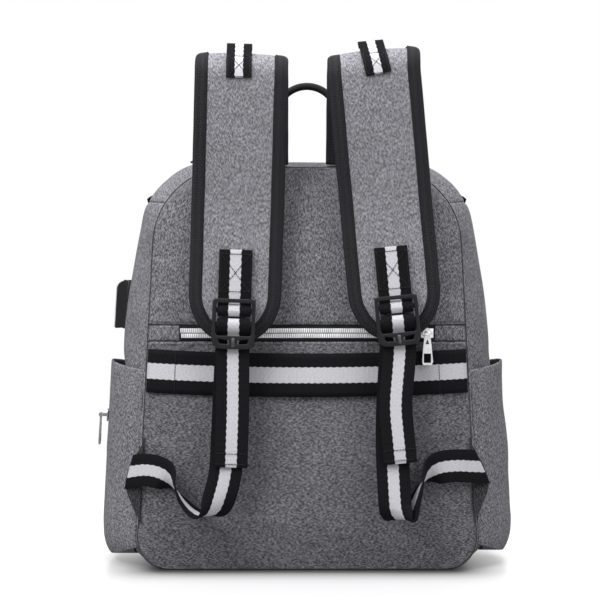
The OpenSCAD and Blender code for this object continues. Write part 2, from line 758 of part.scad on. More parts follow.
// A ribbon through stations, each a middle point and a direction across
module ribbon(stations, w, t, turn = false) {
    n = len(stations);
    function along(i) = unit(stations[min(n - 1, i + 1)][0] - stations[max(0, i - 1)][0]);
    function flat(i) = unit(stations[i][1] - along(i) * (stations[i][1] * along(i)));
    function at(i, u, off) = stations[i][0] + flat(i) * u * w / 2 + cross(along(i), flat(i)) * off;
    skin([for (i = [0:n - 1]) [at(i, -1, t / 2), at(i, 1, t / 2)]],
        [for (i = [0:n - 1]) [at(i, -1, -t / 2), at(i, 1, -t / 2)]], turn);
}

// Smooth curve through hand-chosen points
function curve(p, i, t) =
    let (a = p[max(0, i - 1)], b = p[i], c = p[i + 1], d = p[min(len(p) - 1, i + 2)])
    b + 0.5 * t * ((c - a) + t * ((2 * a - 5 * b + 4 * c - d) + t * (3 * (b - c) + d - a)));
function smooth_path(p, n) =
    concat([for (i = [0:len(p) - 2], k = [0:n - 1]) curve(p, i, k / n)], [p[len(p) - 1]]);

// Loop of webbing that stands up from the top of a strap
loop_w = 23;

module stroller_loop(side) {
    tilt = side < 0 ? 0 : 24;
    r = arch_r + strap_t + lining_z + seam + web_t / 2 + 0.2;
    function polar(a, k) = [arch_y + k * cos(a), arch_z + k * sin(a)];
    route = concat([polar(184, r), polar(166, r), polar(148, r), polar(132, r)],
        [polar(118, r + 1.5), polar(108, r + 4), polar(101, r + 6.2), polar(95, r + 6.4),
            polar(91.5, r + 4.4), polar(93, r + 2.2), polar(100, r + 1.9), polar(108, r + 2)]);
    path = smooth_path(route, 2);
    mid = strap_c(1.5, side);
    over = strap_a(1.5, side);
    shift = side < 0 ? -2 : -0.5;
    function slip(p) = shift - sin(tilt) * (p[1] - arch_z - arch_r) * 0.5;
    ribbon([for (p = path) [[mid[0], p[0], p[1] + strap_up(1.5, side)] + over * slip(p), over]],
        loop_w, web_t);
}

module stroller_loop_left() {
    color(stripe) stroller_loop(-1);
}

module stroller_loop_right() {
    color(stripe) stroller_loop(1);
}

// Frame of the buckle: local X across the strap, local Y up it, local Z outward from its face
bar_w = 5;
bar_r = 2.2;
tab_eye = 2.5;
hook_v = 12.6;
hook_r = 2.6;
lock_w = 39;
rail_w = 3.3;
lock_top = 10.5;
lock_low = 35;
lip_h = 12;
face_off = strap_t + lining_z + 0.2;

module at_lock(side) {
    s = 4 - (bar_z - tip_z) / (low_z - tip_z);
    c = strap_c(s, side);
    translate([c[0], hang_y - face_off, c[2]]) rotate([0, -side * hang_a(side), 0])
        rotate([90, 0, 0]) children();
}

// Webbing sewn to the strap, with the eye that holds the buckle's top bar
module buckle_tab(side) {
    eye_r = tab_eye + web_t;
    tab_t = 2 * web_t;
    tab_l = tab_top - bar_z;
    color(stripe) at_lock(side) difference() {
        translate([-web_w / 2, 0, 0]) rotate([90, 0, 90]) linear_extrude(web_w) polygon(concat(
            [[3, seam], [tab_l, seam], [tab_l, seam + tab_t], [8, seam + tab_t]],
            [for (a = [0 : 15 : 270]) [eye_r * cos(a), bar_w + eye_r * sin(a)]]));
        translate([-web_w, 0, bar_w]) rotate([0, 90, 0]) cylinder(r = tab_eye, h = 2 * web_w, $fn = 48);
    }
}

module buckle_tab_left() {
    buckle_tab(-1);
}

module buckle_tab_right() {
    buckle_tab(1);
}

// Ladder-lock: side rails, two bars, a bridge over the tab and a lip with three cut-outs
module ladder_lock(side) {
    half = lock_w / 2;
    inner = half - rail_w;
    rail_low = 3;
    rail_high = 9;
    bridge_z = 6.6;
    bridge_h = 3.6;
    lip_z = 5.2;
    corner_r = 9;
    color(black) at_lock(side) {
        difference() {
            union() {
                for (x = [-half, inner]) translate([x, -lock_low + corner_r, rail_low])
                    cube([rail_w, lock_low - corner_r + lock_top, rail_high - rail_low]);
                translate([-half, lock_top - bridge_h, bridge_z])
                    cube([lock_w, bridge_h, rail_high + 0.4 - bridge_z]);
                translate([0, 0, lip_z]) linear_extrude(rail_high - lip_z) intersection() {
                    translate([-half, -lock_low]) square([lock_w, lip_h]);
                    union() {
                        translate([-half, -lock_low + corner_r]) square([lock_w, lip_h]);
                        translate([-half + corner_r, -lock_low]) square([lock_w - 2 * corner_r, lip_h]);
                        for (x = [-1, 1]) translate([x * (half - corner_r), -lock_low + corner_r])
                            circle(corner_r, $fn = 64);
                    }
                }
            }
            translate([-1.3, -lock_low + 2.6, 0]) cube([2.6, 7.4, 20]);
            for (x = [-1, 1]) translate([0, -lock_low, 0]) linear_extrude(20)
                polygon([[x * 4.8, 4.4], [x * 12.4, 4.8], [x * 13.8, 9.2], [x * 5, 7.8]]);
        }
        translate([-inner - 1, 0, bar_w]) rotate([0, 90, 0])
            cylinder(r = bar_r, h = 2 * inner + 2, $fn = 48);
        translate([-inner - 1, -hook_v, bar_w]) rotate([0, 90, 0])
            cylinder(r = hook_r, h = 2 * inner + 2, $fn = 48);
    }
}

module ladder_lock_left() {
    ladder_lock(-1);
}

module ladder_lock_right() {
    ladder_lock(1);
}

// Adjuster webbing: from the anchor wing, round a slack loop, up behind the buckle, over its bar
// and down again as the tail
function lock_pt(side, v, w) =
    let (s = 4 - (bar_z - tip_z) / (low_z - tip_z), c = strap_c(s, side), a = side * hang_a(side))
    [c[0] + v * sin(a), hang_y - face_off - w, c[2] - v * cos(a)];

module adjuster_webbing(side) {
    a = side * hang_a(side);
    across = [cos(a), 0, sin(a)];
    half = web_t / 2;
    over_r = hook_r + half + 0.3;
    drift = side < 0 ? 1.3 : -4;
    // Outward place, place behind the back seam and height, then the direction across, of each station
    left_run = [
        [164.5, 6.2, 90, 0, 0, -1], [149, 13, 92.5, 0, 0, -1], [136, 19, 91, 0, 0, -1],
        [126.5, 22.5, 86, -0.05, 0.3, -0.9], [120, 25, 76.5, -0.15, 0.75, -0.5],
        [113.5, 26.5, 66, -0.25, 0.9, -0.2], [105, 27.5, 57, -0.35, 0.9, -0.05],
        [95, 29.5, 52.5, -0.55, 0.8, 0], [85.5, 33, 57, -0.85, 0.5, 0], [79.5, 35, 70, -1, 0.15, 0],
        [74, 34.5, 93, -1, 0, 0], [72, 31.5, 130, -1, 0, 0]];
    right_run = [
        [165.5, 6.2, 94, 0, 0, -1], [150, 13, 96, 0, 0, -1], [136, 19, 97, 0, 0, -1],
        [121, 22.5, 95.5, 0, 0.1, -1], [111, 24.5, 90, -0.1, 0.5, -0.8], [103.5, 26, 79, -0.2, 0.85, -0.35],
        [98, 27, 66, -0.3, 0.95, -0.1], [93, 28, 55, -0.5, 0.85, 0], [87, 31, 50, -0.75, 0.6, 0],
        [81.5, 34.5, 55.5, -0.95, 0.25, 0], [79, 35.5, 70, -1, 0, 0], [77, 31.5, 130, -1, 0, 0]];
    run = concat([for (r = side < 0 ? left_run : right_run)
            [[side * r[0], -(rear_y + r[1]), r[2]], [r[3], side * r[4], side * r[5]]]],
        [[lock_pt(side, 40, 1.5) + [side * drift, 0, 0], -across],
            [lock_pt(side, 24, 1.5), -across],
            [lock_pt(side, hook_v + 4, bar_w - over_r + 0.2), -across]]);
    turn = [for (b = [0:30:180])
        [lock_pt(side, hook_v - over_r * sin(b), bar_w - over_r * cos(b)), -across]];
    // The free tail hangs plumb, so it leaves the leaning strap's line by this much
    plumb = side < 0 ? 1.5 : -9.5;
    tail_vw = [[hook_v + 4.4, bar_w + over_r - 0.8], [20, bar_w + 0.6], [22.6, 3.9], [26, 3.6], [40, 3.8],
        [60, 4.4], [90, 5.2], [118, 5.6], [142, 5.4]];
    tail = [for (p = tail_vw)
        [lock_pt(side, p[0], p[1]) + [plumb * ease(clamp((p[0] - 28) / 70)), 0, 0], -across]];
    lower = [for (i = [0:len(run) - 1]) run[i][0]];
    lower_a = [for (i = [0:len(run) - 1]) run[i][1]];
    n = 3;
    low_p = smooth_path(lower, n);
    low_a = smooth_path(lower_a, n);
    stations = concat([for (i = [0:len(low_p) - 1]) [low_p[i], low_a[i]]], turn, tail);
    color(stripe) ribbon(stations, web_w, web_t);
}

module adjuster_webbing_left() {
    adjuster_webbing(-1);
}

module adjuster_webbing_right() {
    adjuster_webbing(1);
}

// Folded triangle of cloth sewn into the side seam, which carries the webbing's end
module anchor_wing(side) {
    wing_t = 1.8;
    mid = 82;
    out_y = -(rear_y + edge_t);
    in_x = 1.5;
    out_x = half_w(mid) + 14;
    function at(z, u, off) = let (x = half_w(z) - in_x)
        [side * lerp(x, out_x, u), lerp(back_face(x, z) - seam, out_y, u) - off, z];
    zs = [mid - 38, mid - 10, mid + 10, mid + 38];
    reach = [0.05, 1, 1, 0.05];
    color(heather) skin([for (i = [0:3]) [at(zs[i], 0, wing_t), at(zs[i], reach[i], wing_t)]],
        [for (i = [0:3]) [at(zs[i], 0, 0), at(zs[i], reach[i], 0)]], side > 0);
}

module anchor_wing_left() {
    anchor_wing(-1);
}

module anchor_wing_right() {
    anchor_wing(1);
}

// Rolled webbing handle that swings on its sewn feet
module grab_handle() {
    foot_z = band(5, 0.5 + grip_y / body_d, 0, 1)[2] + grip_t / 2 + seam;
    leg = 39;
    color(black) translate([0, grip_y, foot_z]) {
        for (x = [-grip_r, grip_r]) translate([x, 0, 0]) {
            cylinder(d = grip_t, h = leg, $fn = 48);
            sphere(d = grip_t, $fn = 48);
        }
        translate([0, 0, leg]) rotate([90, 0, 0]) rotate_extrude(angle = 180, $fn = 96)
            translate([grip_r, 0]) circle(d = grip_t, $fn = 48);
    }
}

back_panel_upper();
back_panel_lower();
rear_zip_facings();
rear_pocket_lining();
rear_zip_tape();
rear_zip_teeth();
luggage_band();
side_gusset_left();
side_gusset_right();
base_panel();
base_board();
front_panel();
top_strip_rear();
shoulder_strip_left();
shoulder_strip_right();
main_zip_tape();
main_zip_teeth();
main_zip_ends();
side_pocket_left();
side_pocket_right();
side_zip_tape();
side_zip_teeth();
front_pocket();
front_zip_tape();
front_zip_teeth();
usb_housing();
usb_socket();
anchor_wing_left();
anchor_wing_right();
adjuster_webbing_left();
adjuster_webbing_right();
strap_riser_left();
strap_riser_right();
mouth_flap();
flap_zip_tape();
flap_zip_teeth();
main_zip_slider_left();
main_zip_puller_left();
main_zip_slider_right();
main_zip_puller_right();
rear_zip_slider();
rear_zip_puller();
side_zip_slider();
side_zip_puller();
front_zip_slider();
front_zip_puller();
strap_pad_left();
strap_pad_right();
strap_lining_left();
strap_lining_right();
strap_binding_left();
strap_binding_right();
stroller_loop_left();
stroller_loop_right();
buckle_tab_left();
buckle_tab_right();
ladder_lock_left();
ladder_lock_right();
grab_handle();
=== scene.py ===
# %% [markdown]
# # A heather nappy backpack, seen from the wearer's side
# The zip sliders, their pullers and the USB port are copies of the frame's solids with rounded
# edges. The buckles and everything sewn are made here: padded panels, pockets, straps, webbing,
# zip tapes, thread. Each piece sits where its CAD solid sits, so the lesson repeats the bag's main
# measures, in millimetres, and moves grids to them.

# %% The frame
import json
from contextlib import contextmanager
from math import asin, atan, copysign, cos, exp, pi, radians, sin, sqrt, tan

import bpy
from mathutils import Matrix, Vector, noise

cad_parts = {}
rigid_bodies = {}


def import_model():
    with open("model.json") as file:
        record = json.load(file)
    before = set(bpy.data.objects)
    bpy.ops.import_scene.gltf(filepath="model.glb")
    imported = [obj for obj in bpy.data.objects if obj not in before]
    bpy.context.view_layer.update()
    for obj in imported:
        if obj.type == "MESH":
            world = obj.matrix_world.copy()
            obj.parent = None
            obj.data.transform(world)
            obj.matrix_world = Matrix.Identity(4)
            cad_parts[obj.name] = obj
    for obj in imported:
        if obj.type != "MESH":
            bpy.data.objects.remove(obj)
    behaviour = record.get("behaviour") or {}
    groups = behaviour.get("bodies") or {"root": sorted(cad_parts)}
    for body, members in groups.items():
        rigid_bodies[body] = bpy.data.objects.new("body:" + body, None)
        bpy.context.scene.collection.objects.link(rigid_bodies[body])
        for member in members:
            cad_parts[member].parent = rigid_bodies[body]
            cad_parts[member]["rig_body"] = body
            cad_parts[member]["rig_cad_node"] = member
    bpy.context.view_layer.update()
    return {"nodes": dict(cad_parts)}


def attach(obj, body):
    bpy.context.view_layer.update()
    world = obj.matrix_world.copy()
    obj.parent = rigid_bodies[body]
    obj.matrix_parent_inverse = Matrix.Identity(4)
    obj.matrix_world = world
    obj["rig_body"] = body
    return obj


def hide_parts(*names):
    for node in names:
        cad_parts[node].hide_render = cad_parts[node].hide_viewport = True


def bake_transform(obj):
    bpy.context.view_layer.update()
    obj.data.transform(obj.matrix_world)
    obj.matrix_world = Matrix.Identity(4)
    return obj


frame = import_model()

MM = 0.001

# %% [markdown]
# ## Camera, light and floor
# The photograph is a level product shot from about a metre and a half. A long lens and a small
# upward shift give its framing. Four soft lamps and a pale world light the cloth at a plain level,
# and the floor fades to a plain white a little way from the bag, so that it keeps only the shadow,
# which near the bag's foot is partly painted into the floor.

# %% Camera
bpy.ops.object.select_all(action="DESELECT")
bpy.ops.object.camera_add(location=(-0.0065, -1.58, 0.243), rotation=(pi / 2, 0, 0))
camera = bpy.context.object
camera.name = "photo_camera"
camera.data.sensor_width = 36
camera.data.lens = 97.2
camera.data.shift_y = 0.01
camera.data.clip_end = 30
bpy.context.scene.camera = camera
bpy.context.scene.view_settings.view_transform = "Standard"
print("camera", [round(c, 3) for c in camera.location], "lens", camera.data.lens)


# %% Lamps
def lamp(name, place, aim, size, watts):
    """A square soft box that faces a point on the bag."""
    turn = (Vector(aim) - Vector(place)).to_track_quat("-Z", "Y").to_euler()
    bpy.ops.object.light_add(type="AREA", location=place, rotation=turn)
    made = bpy.context.object
    made.name = name
    made.data.size = size
    made.data.energy = watts
    return made


BAG_MIDDLE = (0, 0, 0.24)
lamp("key_box", (-1.15, -1.2, 1.75), (0, 0, 0.35), size=1.1, watts=48)
lamp("fill_box", (1.4, -1.2, 1.35), (0, 0, 0.3), size=1.2, watts=19)
lamp("top_box", (0, -0.2, 1.7), BAG_MIDDLE, size=1.1, watts=28)
lamp("rim_box", (0.6, 1.7, 1.2), BAG_MIDDLE, size=1.2, watts=12)

# %% [markdown]
# ## Shader maths in plain Python
# A small class wraps a socket, so that `u * 3 + v` adds the Math nodes by itself. Any other node
# comes from one method that takes the node's type, its settings and its inputs.


# %% Wire
class Wire:
    """A node socket that can be used in sums."""

    def __init__(self, tree, socket=None):
        self.tree = tree
        self.socket = socket

    def node(self, kind, settings=None, inputs=None, out=0):
        made = self.tree.nodes.new("ShaderNode" + kind)
        for name, value in (settings or {}).items():
            if name == "stops":
                ramp = made.color_ramp.elements
                ramp.remove(ramp[1])
                ramp[0].position, ramp[0].color = value[0][0], (*value[0][1], 1)
                for place, tone in value[1:]:
                    ramp.new(place).color = (*tone, 1)
            else:
                setattr(made, name, value)
        for name, value in (inputs or {}).items():
            if isinstance(value, Wire):
                self.tree.links.new(value.socket, made.inputs[name])
            else:
                made.inputs[name].default_value = value
        return Wire(self.tree, made.outputs[out])

    def maths(self, operation, *values):
        return self.node("Math", {"operation": operation}, dict(enumerate(values)))

    def __add__(self, other):
        return self.maths("ADD", self, other)

    def __sub__(self, other):
        return self.maths("SUBTRACT", self, other)

    def __rsub__(self, other):
        return self.maths("SUBTRACT", other, self)

    def __mul__(self, other):
        return self.maths("MULTIPLY", self, other)

    def __truediv__(self, other):
        return self.maths("DIVIDE", self, other)

    def sine(self):
        return self.maths("SINE", self)

    def size(self):
        return self.maths("ABSOLUTE", self)

    def clamped(self):
        return self.node("Clamp", {}, {"Value": self})

    def outlet(self, index):
        return Wire(self.tree, self.socket.node.outputs[index])


def material(name, constants):
    """A new material with a Principled shader whose plain values are set on its own sockets."""
    made = bpy.data.materials.new(name)
    made.use_nodes = True
    shader = made.node_tree.nodes["Principled BSDF"]
    for socket, value in constants.items():
        shader.inputs[socket].default_value = value
    return made, Wire(made.node_tree), shader


def feed(shader, **wires):
    """Links wires to the shader's sockets; Base_Color stands for Base Color."""
    for name, wire in wires.items():
        wire.tree.links.new(wire.socket, shader.inputs[name.replace("_", " ")])


def cloth_uv(wire):
    """The piece's own flat coordinates, in metres: across the cloth and along it."""
    uv = wire.node("UVMap", {"uv_map": "cloth"})
    across = wire.node("SeparateXYZ", {}, {"Vector": uv})
    return across, across.outlet(1)


def grain(wire, across, along, seed, detail=1.0):
    """Noise stretched by giving the two directions their own number of cells a metre."""
    at = wire.node("CombineXYZ", {}, {"X": across, "Y": along, "Z": seed})
    return wire.node("TexNoise", {}, {"Vector": at, "Scale": 1.0, "Detail": detail})


def ramp(wire, stops):
    return wire.node("ValToRGB", {"stops": stops}, {"Fac": wire})


def grey(level, blue=1.08):
    """A neutral tone with the faint blue of the cloth's dye."""
    return (level, level * 0.985, level * blue)


def bump(height, distance, strength):
    return height.node("Bump", {}, {"Height": height, "Distance": distance, "Strength": strength})


def woven(name, rough, shine):
    """A cloth material, with the coordinates across and along it that its weave uses."""
    made, wire, shader = material(name, {"Roughness": rough, "Specular IOR Level": shine})
    return made, wire, shader, *cloth_uv(wire)


print("shader helpers ready")

# %% [markdown]
# ## World and floor
# The world is white to the camera and to mirrors, and a soft grey light to everything else. The
# floor is a pale sheet near the bag, which throws little light back up, so the foot of the bag
# stays darker than its top. Close to the bag's foot the floor's colour and glow darken, a painted
# contact shadow, and the glow, seen only by the camera, lifts the floor's real shadows as painted
# light. Its far part glows white, so no horizon shows.

# %% World and floor
SKY_LIGHT, FLOOR_LIGHT = 0.36, 0.3
FOOT_HALVES, PAINTED_SHADOW_REACH = (0.13, 0.082), 0.08
# Painted contact shadow: the floor's tone against its distance from the bag's foot.
PAINTED_CONTACT_SHADOW = [(0.04, 0.012), (0.18, 0.055), (0.33, 0.18), (0.5, 0.28), (0.75, 0.37), (1.0, 0.4)]
WHITE_FROM, WHITE_OVER = 0.3, 0.5


def looked_at(wire):
    """1 for rays from the camera, a mirror or glass, and 0 for rays that only bring light."""
    path = wire.node("LightPath")
    return (path + path.outlet(3) + path.outlet(6)).clamped()


def white_glow(wire, kind, strength):
    return wire.node(kind, {}, {"Color": (1, 1, 1, 1), "Strength": strength})


def mixed(wire, share, first, second):
    return wire.node("MixShader", {}, {0: share, 1: first, 2: second})


def show(wire, output):
    """Links a finished shader to the output of its tree."""
    wire.tree.links.new(wire.socket, wire.tree.nodes[output].inputs["Surface"])


world = bpy.data.worlds.new("studio")
bpy.context.scene.world = world
world.use_nodes = True
sky = Wire(world.node_tree)
soft_light, white_light = [white_glow(sky, "Background", k) for k in (SKY_LIGHT, 1.0)]
show(mixed(sky, looked_at(sky), soft_light, white_light), "World Output")

bpy.ops.mesh.primitive_plane_add(size=14, location=(0, 0, -0.0006))
floor = bpy.context.object
floor.name = "floor"
floor_paint, wire, shader = material("floor_paint", {"Roughness": 0.3, "Emission Strength": 1.0})
at = wire.node("TexCoord", {}, {}, 3)
reach = wire.node("VectorMath", {"operation": "LENGTH"}, {0: at}, 1)
east = wire.node("SeparateXYZ", {}, {"Vector": at})
beyond = [wire.maths("MAXIMUM", axis.size() - half, 0.0)
          for axis, half in zip((east, east.outlet(1)), FOOT_HALVES)]
clear = wire.maths("SQRT", beyond[0] * beyond[0] + beyond[1] * beyond[1]) / PAINTED_SHADOW_REACH
# Painted contact shadow in the floor's colour and in its glow; the glow is painted light that lifts
# the floor's real shadows.
contact_shadow_tint = ramp(clear, [(place, (tone, tone, tone * 1.01)) for place, tone in PAINTED_CONTACT_SHADOW])
feed(shader, Base_Color=contact_shadow_tint, Emission_Color=contact_shadow_tint)
seen = looked_at(wire)
far = ((reach - WHITE_FROM) / WHITE_OVER).clamped() * seen
matt = wire.node("BsdfDiffuse", {}, {"Color": (FLOOR_LIGHT, FLOOR_LIGHT, FLOOR_LIGHT, 1)})
near = mixed(wire, seen, matt, Wire(wire.tree, shader.outputs[0]))
show(mixed(wire, far, near, white_glow(wire, "Emission", 1.0)), "Material Output")
floor.data.materials.append(floor_paint)
print("floor and world ready")

# %% [markdown]
# ## Finishes
# Heather cloth is woven from yarns of several greys, which show as short streaks along one thread
# direction. Each yarn takes its tone from noise along its own length, on the cloth's own
# coordinates in metres, so the streaks keep their size and follow every fold. Weave and streaks
# drive the bump.

# %% Heather cloth
YARNS, YARN_APART, YARN_RUNS = 1250, 7.31, 400
CROSSING = 2 * pi / 0.0021


def yarn(wire, across, along, seed):
    """Every yarn has its own run of lighter and darker lengths, a few millimetres each."""
    number = wire.maths("FLOOR", across * YARNS)
    return grain(wire, number * YARN_APART, along * YARN_RUNS, seed, 1.5)


def heather(name, dark, mid, light, turned=False):
    made, wire, shader, u, v = woven(name, 0.95, 0.12)
    if turned:
        u, v = v, u
    warp = yarn(wire, u, v, 1.0)
    weft = yarn(wire, v, u, 13.0)
    cloud = grain(wire, u * 16, v * 12, 21.0, 2.0)
    weave = (u * CROSSING).sine() * (v * CROSSING).sine()
    tone = (warp - 0.5) * 2.6 + (weft - 0.5) * 0.5 + (cloud - 0.5) * 0.2 + weave * 0.18 + 0.5
    feed(shader, Base_Color=ramp(tone, [(0.12, grey(dark)), (0.5, grey(mid)), (0.9, grey(light))]),
         Normal=bump(tone * 0.7 + weave * 0.3, 0.0002, 0.3))
    return made


panel_cloth = heather("panel_cloth", 0.049, 0.136, 0.266)
# The lower copy of the heather is darker than the panel's: painted shade.
lower_cloth_painted_shade = heather("lower_cloth_painted_shade", 0.041, 0.11, 0.214, turned=True)
side_cloth = heather("side_cloth", 0.054, 0.144, 0.285)
# The strap's copy of the heather is lighter than the panel's: painted light.
strap_cloth = heather("strap_cloth", 0.085, 0.18, 0.31)
# The wing's copy of the heather is made very dark: painted shade.
wing_cloth_painted_shade = heather("wing_cloth_painted_shade", 0.014, 0.036, 0.075)
print("heather cloth", [m.name for m in bpy.data.materials if "cloth" in m.name])

# %% [markdown]
# Webbing is ribbed across its length and has a white stripe down its middle. Where the white and
# black yarns meet, the edge is gently scalloped, because the white floats over and under in a
# fixed repeat.

# %% Webbing
RIB = 2 * pi / 0.0012
SCALLOP, SCALLOP_DEPTH, STRIPE_EDGE = 2 * pi / 0.0058, 0.00025, 0.0003


def webbing(name, white_half):
    """Black webbing with a white stripe; the piece's u runs from minus to plus half its width."""
    made, wire, shader, u, v = woven(name, 0.88, 0.06)
    wavy = u.size() + (v * SCALLOP).sine() * SCALLOP_DEPTH
    white = (0.5 - (wavy - white_half) / STRIPE_EDGE).clamped()
    rib = (v * RIB).sine() * 0.5 + 0.5
    fray = grain(wire, u * 900, v * 500, 3.0, 2.0)
    stripe = ramp(rib * 0.25 + fray * 0.75,
                  [(0.2, (0.38, 0.38, 0.405)), (0.75, (0.58, 0.58, 0.615))])
    ground = ramp(rib * 0.3 + fray * 0.7,
                  [(0.2, (0.0035, 0.0035, 0.0045)), (0.8, (0.0115, 0.0115, 0.0135))])
    tone = wire.node("Mix", {"data_type": "RGBA"}, {0: white, 6: ground, 7: stripe}, 2)
    feed(shader, Base_Color=tone, Normal=bump(rib * 0.6 + fray * 0.4, 0.00025, 0.7))
    return made


strap_webbing = webbing("strap_webbing", 0.0051)
loop_webbing = webbing("loop_webbing", 0.0037)
band_webbing = webbing("band_webbing", 0.0072)
print("webbing in three widths")

# %% [markdown]
# The strap's edge binding is herringbone tape: diagonal ribs that change direction along two
# lines. The strap's back is spacer mesh, with a close lattice of round holes. Zip tape and the
# rolled handle are plain black weaves, and the lining inside the bag is a thin dark taffeta.


# %% Tapes and linings
CHEVRON, CHEVRON_RIB = 0.0056, 2 * pi / 0.0025


def herringbone(name):
    made, wire, shader, u, v = woven(name, 0.88, 0.08)
    fold = (wire.maths("FRACT", u / CHEVRON) - 0.5).size()
    rib = ((v + fold * CHEVRON * 1.3) * CHEVRON_RIB).sine() * 0.5 + 0.5
    fray = grain(wire, u * 700, v * 500, 5.0, 2.0)
    tone = rib * 0.4 + fray * 0.5 + (1 - fold * 2) * 0.1
    stops = [(0.3, (0.003, 0.003, 0.004)), (0.72, (0.036, 0.036, 0.04))]
    feed(shader, Base_Color=ramp(tone, stops), Normal=bump(tone, 0.0002, 0.8))
    return made


def plain_weave(name, dark, light, pitch):
    made, wire, shader, u, v = woven(name, 0.88, 0.14)
    turns = 2 * pi / pitch
    weave = (u * turns).sine() * (v * turns).sine() * 0.5 + 0.5
    fray = grain(wire, u * 600, v * 600, 9.0, 2.0)
    tone = weave * 0.6 + fray * 0.4
    feed(shader, Base_Color=ramp(tone, [(0.25, grey(dark)), (0.75, grey(light))]),
         Normal=bump(tone, 0.0002, 0.7))
    return made


def spacer_mesh(name):
    made, wire, shader, u, v = woven(name, 0.85, 0.14)
    at = wire.node("CombineXYZ", {}, {"X": u * 330 + v * 165, "Y": v * 290, "Z": 0.0})
    cell = wire.node("TexVoronoi", {}, {"Vector": at, "Scale": 1.0, "Randomness": 0.08})
    hole = (1.5 - cell * 4.2).clamped()
    stops = [(0.0, (0.034, 0.034, 0.037)), (0.8, (0.004, 0.004, 0.005))]
    feed(shader, Base_Color=ramp(hole, stops), Normal=bump(1 - hole, 0.0008, 0.9))
    return made


edge_tape = herringbone("edge_tape")
zip_weave = plain_weave("zip_weave", 0.008, 0.022, 0.0011)
handle_weave = plain_weave("handle_weave", 0.008, 0.026, 0.0018)
lining_weave = plain_weave("lining_weave", 0.05, 0.09, 0.0008)
back_mesh = spacer_mesh("back_mesh")
print("tapes and linings ready")

# %% [markdown]
# Metal and plastic read the object's own coordinates, since these pieces are rigid. Brushed nickel
# has faint streaks in its roughness, black enamel is worn a little, and moulded plastic has a fine
# grain.


# %% Metal, plastic and thread
def speckle(wire, scale, detail):
    """Noise on the piece's own coordinates."""
    at = wire.node("TexCoord", {}, {}, 3)
    return wire.node("TexNoise", {}, {"Vector": at, "Scale": scale, "Detail": detail})


def worn(wire, tone, dull, bright):
    """A tone that noise makes a little darker here and lighter there."""
    stops = ((0.3, dull), (0.7, bright))
    return ramp(wire, [(place, tuple(c * k for c in tone)) for place, k in stops])


def hard(name, tone, rough, metal, grain_size, depth, shine=0.3):
    made, wire, shader = material(name, {"Metallic": metal, "Specular IOR Level": shine})
    fine, broad = speckle(wire, 1 / grain_size, 3.0), speckle(wire, 90.0, 2.0)
    feed(shader, Base_Color=worn(broad, tone, 0.8, 1.15), Normal=bump(fine, depth, 0.5),
         Roughness=(fine - 0.5) * 0.25 + (broad - 0.5) * 0.2 + rough)
    return made


nickel = hard("nickel", (0.68, 0.68, 0.7), 0.26, 1.0, 0.0006, 0.00002)
# The same nickel darkened for the side zip's slider and puller: painted shade.
nickel_painted_shade = hard("nickel_painted_shade", (0.2, 0.2, 0.21), 0.34, 1.0, 0.0006, 0.00002)
tooth_metal = hard("tooth_metal", (0.82, 0.82, 0.84), 0.36, 0.7, 0.0008, 0.00002)
black_enamel = hard("black_enamel", (0.018, 0.018, 0.02), 0.34, 0.0, 0.0007, 0.00002)
buckle_plastic = hard("buckle_plastic", (0.009, 0.009, 0.011), 0.3, 0.0, 0.0005, 0.00001, 0.2)
port_plastic = hard("port_plastic", (0.007, 0.007, 0.009), 0.24, 0.0, 0.0005, 0.00001, 0.2)
# A pale plastic for the port's bevelled edges: painted highlight.
port_painted_highlight = hard("port_painted_highlight", (0.5, 0.5, 0.52), 0.4, 0.0, 0.0005, 0.00002)
board_plastic = hard("board_plastic", (0.05, 0.05, 0.05), 0.6, 0.0, 0.001, 0.00005)


def thread(name, tone):
    made, wire, shader = material(name, {"Roughness": 0.75, "Specular IOR Level": 0.2})
    feed(shader, Base_Color=worn(speckle(wire, 1800.0, 1.0), tone, 0.7, 1.3))
    return made


black_thread = thread("black_thread", (0.014, 0.014, 0.016))
seam_painted_shade = thread("seam_painted_shade", (0.042, 0.042, 0.046))
grey_thread = thread("grey_thread", (0.075, 0.075, 0.08))
print("metal, plastic and thread ready")

# %% [markdown]
# ## Measures of the bag
# The back and the front share one outline, drawn here as a path q from 0 at the middle of the base
# to 5 at the middle of the top. A band joins them: t runs from the rear seam to the front seam,
# and the band swells outward between the seams.

# %% Outline of the body
SIDES = ((-1, "left"), (1, "right"))
BODY_H, BASE_W, TOP_W, BODY_D = 371, 316, 278, 160
TOP_R, BASE_R, REAR_R = 48, 28, 72
SEAM, EDGE_T, PUFF, WALL = 0.3, 3, 7, 3.5
LEAN = atan((BASE_W - TOP_W) / 2 / BODY_H)
CX_BASE = BASE_W / 2 - BASE_R / cos(LEAN) - BASE_R * tan(LEAN)
CX_TOP, CX_REAR = [BASE_W / 2 - r / cos(LEAN) - (BODY_H - r) * tan(LEAN) for r in (TOP_R, REAR_R)]
Z_LOW = BASE_R + BASE_R * sin(LEAN)
Z_HIGH, Z_REAR = [BODY_H - r + r * sin(LEAN) for r in (TOP_R, REAR_R)]
REAR_Y = BODY_D / 2
SWELL = {"foot": 20, "side": 11, "shoulder": 17, "top": 11}
QUARTER = pi / 2
SEAM_TURN, REAR_REACH, PUFF_EDGE = radians(18), 0.3, 10
Q_SEAM = 3 + (SEAM_TURN - LEAN) / (QUARTER - LEAN)


def lerp(a, b, t):
    return a + (b - a) * t


def ease(t):
    return t * t * (3 - 2 * t)


def clip(t):
    return max(0.0, min(1.0, t))


def spread(low, high, count):
    return [lerp(low, high, i / (count - 1)) for i in range(count)]


def crowded(count):
    """Values from -1 to 1 that lie closer together towards the ends."""
    return [k * (1.25 - 0.25 * k * k) for k in spread(-1, 1, count)]


